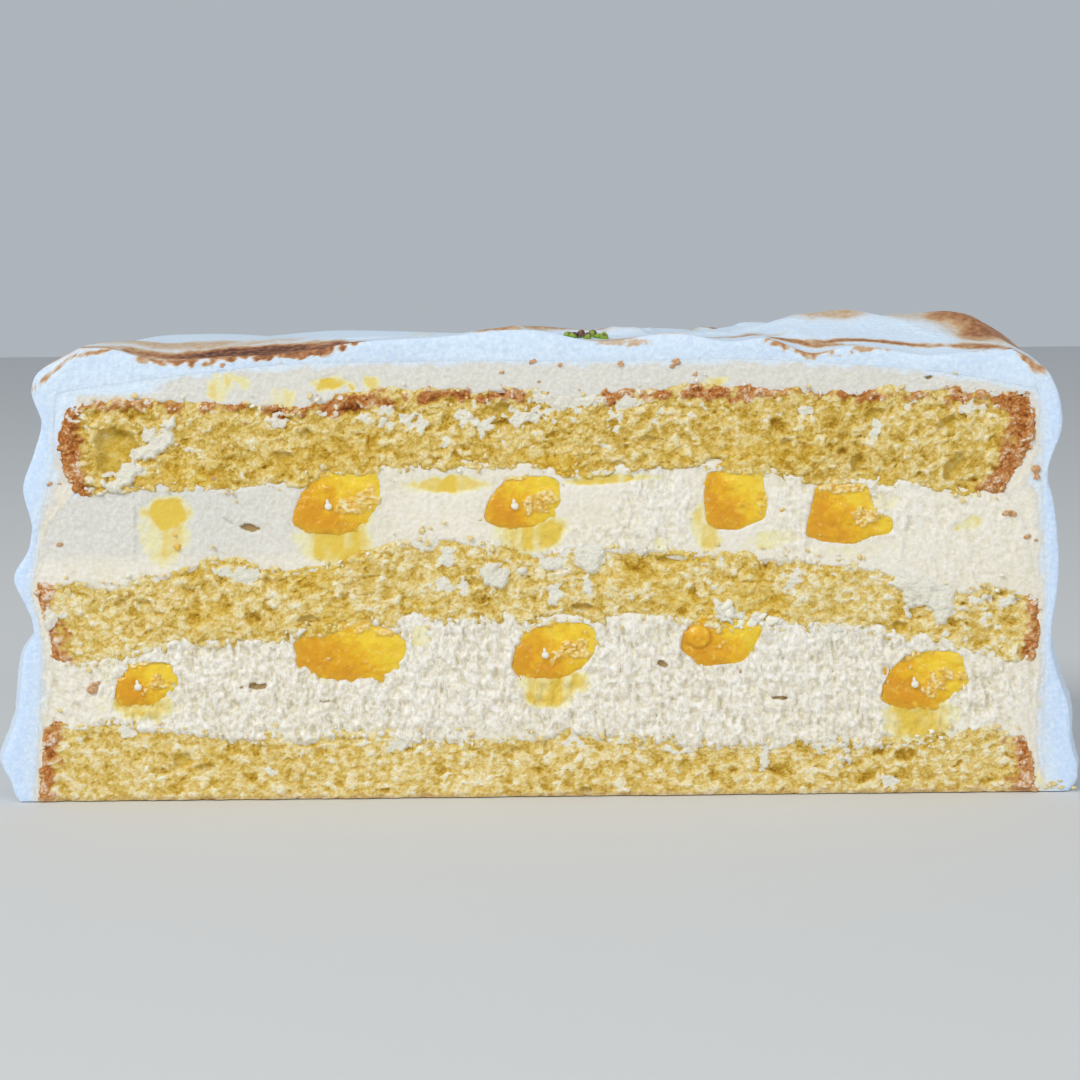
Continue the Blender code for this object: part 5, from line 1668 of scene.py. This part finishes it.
# %% [markdown]
# Each piece rides on the model's one body and names the imported solids that it takes the place of.
# The loose crumbs and the drops of cream take the place of nothing. Blender's own menus could give
# each piece its material. A function does the same for all sixteen and can't forget one step.

# %% Put the pieces on the model
dressed = []


def dress(piece, finish, slot, *nodes):
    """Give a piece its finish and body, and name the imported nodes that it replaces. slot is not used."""
    piece.data.materials.append(FINISHES[finish])
    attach(piece, "root")
    if nodes:
        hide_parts(*nodes)
    dressed.append(piece.name)


for node, piece in sponges.items():
    dress(piece, "sponge", "sponge", node)
for node, piece in creams.items():
    dress(piece, "cream", "cream", node)
dress(coat, "cream", "cream", "cream_coat")
dress(meringue, "meringue", "meringue", "meringue")
for node, piece in curds.items():
    dress(piece, "curd", "curd", node)
dress(nibs, "nut", "meringue", "meringue")
dress(crumbs, "bits", "sponge")
dress(drops, "bits", "cream")
print("pieces dressed:", len(dressed))

# %% [markdown]
# ## Light and floor
# The photograph has soft light from the front and a little above, as near a large window. It comes
# more from the left, so that every tear in the cream has a light and a dark side. The lights stand
# well away, so that both ends of the cake are lit alike.

# %% Floor, lights and world
def area_light(name, place, side, power, colour):
    data = bpy.data.lights.new(name, "AREA")
    data.shape = "SQUARE"
    data.size = side
    data.energy = power
    data.color = colour
    made = bpy.data.objects.new(name, data)
    made.location = place
    made.rotation_euler = (Vector((0, 0, 0.05)) - Vector(place)).to_track_quat("-Z", "Y").to_euler()
    bpy.context.scene.collection.objects.link(made)


# Each light: place and side in metres, power in watts, colour.
LIGHTS = {"window": ((-1.1, -1.3, 1.35), 0.7, 23.0, (1.0, 0.99, 0.97)),
          "fill": ((1.2, -1.6, 0.7), 1.2, 9.0, (1.0, 0.99, 0.98))}
for name, setting in LIGHTS.items():
    area_light(name, *setting)
print("lights:", *LIGHTS)

FLOOR_HALF = 4.0
FLOOR_DROP = 0.0002
bm = bmesh.new()
bmesh.ops.create_grid(bm, x_segments=1, y_segments=1, size=FLOOR_HALF)
floor_mesh = bpy.data.meshes.new("floor")
bm.to_mesh(floor_mesh)
bm.free()
floor = bpy.data.objects.new("floor", floor_mesh)
floor.location = (0, 0, -FLOOR_DROP)
bpy.context.scene.collection.objects.link(floor)
floor_finish = Finish("pale_floor", Base_Color=(0.70, 0.70, 0.69, 1.0), Roughness=0.8)
floor.data.materials.append(floor_finish.material)

world = bpy.data.worlds.new("studio")
world.use_nodes = True
world.node_tree.nodes["Background"].inputs["Color"].default_value = (0.84, 0.92, 1.0, 1.0)
world.node_tree.nodes["Background"].inputs["Strength"].default_value = 0.5
bpy.context.scene.world = world
bpy.context.scene.view_settings.view_transform = "Standard"
